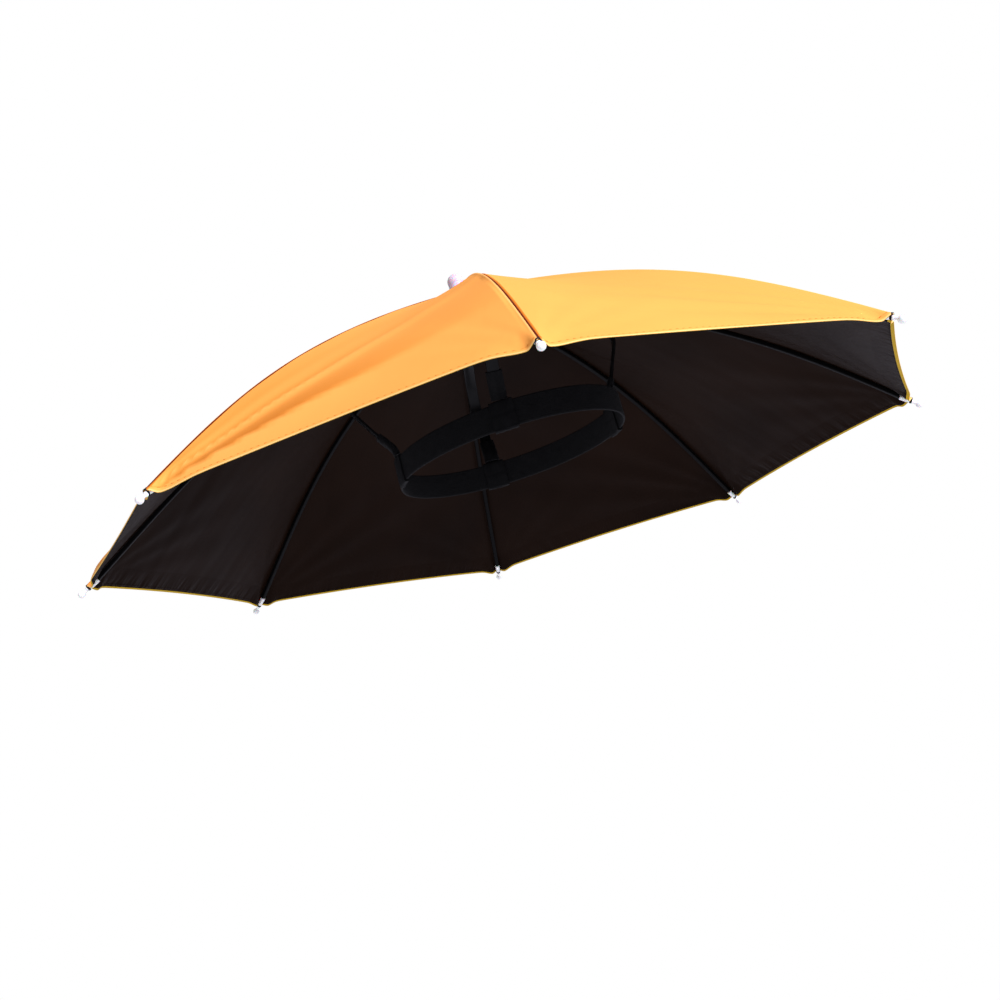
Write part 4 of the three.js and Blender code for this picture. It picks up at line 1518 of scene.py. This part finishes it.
def wrapped_tube(name, stations, frame_at, width, height, wrinkle):
    """A tape tube with a real wall: stations run along it, frame_at gives each one's centre and two axes."""
    narrow = min(width, height)
    outer_loop = rounded_rectangle(width, height, narrow * TAPE_ROUNDING, 7)
    rounding = (narrow - 2 * TAPE_WALL) * TAPE_ROUNDING
    inner_loop = rounded_rectangle(width - 2 * TAPE_WALL, height - 2 * TAPE_WALL, rounding, 7)
    last = len(stations) - 1
    sections = []
    for q, ((ox, oy), (ix, iy)) in enumerate(zip(outer_loop, inner_loop)):
        ring = []
        for i, station in enumerate(stations):
            centre, across, up = frame_at(station)
            lift = 1 + wrinkle(i / last, q / len(outer_loop)) / math.hypot(ox, oy)
            ring.append(centre + (across * ox + up * oy) * lift)
        for station in reversed(stations):
            centre, across, up = frame_at(station)
            ring.append(centre + across * ix + up * iy)
        sections.append(ring)
    points, faces, _ = loft(sections, looped=True)
    size = 2 * len(stations)
    around = math.tau * math.hypot(width, height) / 4 / len(sections)
    uv = []
    for q in range(len(sections)):
        for j in range(size):
            start, end = (min(s, size - 1 - s) / last * TAPE_SPAN for s in (j, j + 1))
            low, high = q * around, (q + 1) * around
            uv += [(start, low), (end, low), (end, high), (start, high)]
    mesh = new_mesh(name, points, faces, [finish("tape webbing")], uv, math.radians(60))
    outward(mesh)
    return mesh


def outward(mesh):
    """Turns the faces of a closed mesh outwards."""
    work = bmesh.new()
    work.from_mesh(mesh)
    bmesh.ops.recalc_face_normals(work, faces=work.faces)
    work.to_mesh(mesh)
    work.free()


class HAT_OT_tapes(bpy.types.Operator):
    """Wrap the keepers round the headband and the sleeves round the legs' feet"""

    bl_idname = "hat.tapes"
    bl_label = "Keepers and sleeves"

    def execute(self, context):
        for number, rib in enumerate(LEG_RIBS):
            self.keeper(rib, number)
            self.sleeve(rib, number)
        return {"FINISHED"}

    def keeper(self, rib, number):
        middle = band_angle(rib_azimuth(rib))
        step = 0.001
        chord = (band_point(middle + step, 0) - band_point(middle - step, 0)).length
        half = KEEPER_WIDTH / 2 / chord * 2 * step

        def frame_at(share):
            angle = middle + half * share
            return band_point(angle, 0), band_outwards(angle), Vector((0, 0, 1))

        def wrinkle(along, around):
            coarse, fine = (wave(row, along, around, number) for row in KEEPER_WAVES)
            return coarse * math.sin(along * math.pi) + fine

        stations = [i / (KEEPER_STATIONS - 1) * 2 - 1 for i in range(KEEPER_STATIONS)]
        thick = BAND_THICKNESS + 2 * (GAP + TAPE)
        tall = BAND_HEIGHT + 2 * (GAP + TAPE)
        name = f"tape_keeper_{NAMES[rib]}"
        mesh = wrapped_tube(name, stations, frame_at, thick, tall, wrinkle)
        piece = add_piece(name, mesh, [f"keeper_{NAMES[rib]}"])

    def sleeve(self, rib, number):
        route = leg_route(rib)
        lengths = distances(route)
        first = (route[1] - route[0]).normalized()

        def frame_at(distance):
            if distance < 0:
                point, along = route[0] + first * distance, first
            else:
                i = int(np.searchsorted(lengths, distance, side="right")) - 1
                along = (route[i + 1] - route[i]).normalized()
                point = route[i] + along * (distance - lengths[i])
            azimuth = rib_azimuth(rib)
            side = Vector((-math.sin(azimuth), math.cos(azimuth), 0))
            out = turned_out(Vector((along.y, -along.x)), azimuth)
            return turned_out(point, azimuth), side, out

        def wrinkle(along, around):
            return sum(wave(row, along, around, number) for row in SLEEVE_WAVES)

        span = SLEEVE_HEIGHT + SLEEVE_BELOW
        stations = [-SLEEVE_BELOW + span * i / (SLEEVE_STATIONS - 1) for i in range(SLEEVE_STATIONS)]
        wide = LEG_WIDTH + 2 * (GAP + TAPE)
        thick = LEG_THICKNESS + 2 * (GAP + TAPE)
        name = f"tape_sleeve_{NAMES[rib]}"
        mesh = wrapped_tube(name, stations, frame_at, wide, thick, wrinkle)
        piece = add_piece(name, mesh, [f"sleeve_{NAMES[rib]}"])


class HAT_OT_stage(bpy.types.Operator):
    """Set the floor, the light and the camera"""

    bl_idname = "hat.stage"
    bl_label = "Stage"

    def execute(self, context):
        settings = context.scene.hat_stage
        self.floor(context, settings)
        self.dome(context, settings)
        self.key(context, settings)
        self.camera(context, settings)
        context.scene.view_settings.view_transform = "Standard"
        return {"FINISHED"}

    def floor(self, context, settings):
        sides = ((-1, -1), (1, -1), (1, 1), (-1, 1))
        corners = [Vector((x * FLOOR_REACH, y * FLOOR_REACH, -settings.floor_depth)) for x, y in sides]
        material, tree, shader = new_material("studio floor")
        place = node(tree, "ShaderNodeTexCoord").outputs["Object"]
        distance = node(tree, "ShaderNodeVectorMath", {0: place}, operation="LENGTH").outputs["Value"]
        far = spread_over(tree, distance, FLOOR_FADE, (0.0, 1.0))
        set_shader(shader, Base_Color=(*settings.floor_colour, 1), Roughness=0.8, Specular_IOR_Level=0.1)
        path = node(tree, "ShaderNodeLightPath")
        seen = maths(tree, "MULTIPLY", far, path.outputs["Is Camera Ray"])
        glow = node(tree, "ShaderNodeEmission", {"Color": (1, 1, 1, 1), "Strength": 1.0})
        shaders = {0: seen, 1: shader.outputs["BSDF"], 2: glow.outputs["Emission"]}
        mixed = node(tree, "ShaderNodeMixShader", shaders)
        tree.links.new(mixed.outputs["Shader"], tree.nodes["Material Output"].inputs["Surface"])
        mesh = new_mesh("floor", corners, [(0, 1, 2, 3)], [material])
        floor = bpy.data.objects.new("floor", mesh)
        context.scene.collection.objects.link(floor)

    def dome(self, context, settings):
        world = bpy.data.worlds.new("studio")
        world.use_nodes = True
        tree = world.node_tree
        light = tree.nodes["Background"]
        light.inputs["Color"].default_value = (1, 1, 1, 1)
        light.inputs["Strength"].default_value = settings.dome
        seen = node(tree, "ShaderNodeBackground", {"Color": (1, 1, 1, 1), "Strength": 1.0})
        path = node(tree, "ShaderNodeLightPath")
        shaders = {0: path.outputs["Is Camera Ray"], 1: light.outputs[0], 2: seen.outputs[0]}
        mixed = node(tree, "ShaderNodeMixShader", shaders)
        tree.links.new(mixed.outputs["Shader"], tree.nodes["World Output"].inputs["Surface"])
        context.scene.world = world

    def key(self, context, settings):
        lamp = bpy.data.lights.new("key", "SUN")
        lamp.energy = settings.key
        lamp.angle = KEY_SPREAD
        lamp.color = KEY_COLOUR
        key = bpy.data.objects.new("key", lamp)
        key.rotation_mode = "QUATERNION"
        key.rotation_quaternion = KEY_TOWARDS.normalized().to_track_quat("Z", "Y")
        context.scene.collection.objects.link(key)

    def camera(self, context, settings):
        data = bpy.data.cameras.new("camera")
        data.lens = settings.lens
        data.sensor_width = CAMERA_SENSOR
        data.clip_end = CAMERA_FAR
        camera = bpy.data.objects.new("camera", data)
        back = -CAMERA_LOOK.normalized()
        right = CAMERA_UP.cross(back).normalized()
        up = back.cross(right)
        axes = Matrix((right, up, back)).transposed()
        camera.matrix_world = Matrix.Translation(CAMERA_PLACE) @ axes.to_4x4()
        context.scene.collection.objects.link(camera)
        context.scene.camera = camera


class HAT_PT_panel(bpy.types.Panel):
    """The hat's pieces and their sizes and colours"""

    bl_idname = "HAT_PT_panel"
    bl_label = "Umbrella hat"
    bl_space_type = "VIEW_3D"
    bl_region_type = "UI"
    bl_category = "Umbrella hat"

    def draw(self, context):
        for operator in OPERATORS:
            self.layout.operator(operator.bl_idname)
        for name in SETTINGS:
            settings = getattr(context.scene, name)
            box = self.layout.box()
            for key in settings.__annotations__:
                box.prop(settings, key)


OPERATORS = (
    HAT_OT_stage,
    HAT_OT_canopy,
    HAT_OT_hem_stitches,
    HAT_OT_ribs,
    HAT_OT_tips,
    HAT_OT_hub,
    HAT_OT_cap,
    HAT_OT_legs,
    HAT_OT_headband,
    HAT_OT_tapes,
)
SETTINGS = {
    "hat_canopy": HatCanopySettings,
    "hat_frame": HatFrameSettings,
    "hat_band": HatBandSettings,
    "hat_stage": HatStageSettings,
}


def register():
    for kind in (*SETTINGS.values(), *OPERATORS, HAT_PT_panel):
        bpy.utils.register_class(kind)
    for name, kind in SETTINGS.items():
        setattr(bpy.types.Scene, name, PointerProperty(type=kind))


def unregister():
    for name in SETTINGS:
        delattr(bpy.types.Scene, name)
    for kind in reversed((*SETTINGS.values(), *OPERATORS, HAT_PT_panel)):
        bpy.utils.unregister_class(kind)


def main():
    register()
    for operator in OPERATORS:
        group, call = operator.bl_idname.split(".")
        getattr(getattr(bpy.ops, group), call)()


if __name__ == "__main__":
    main()
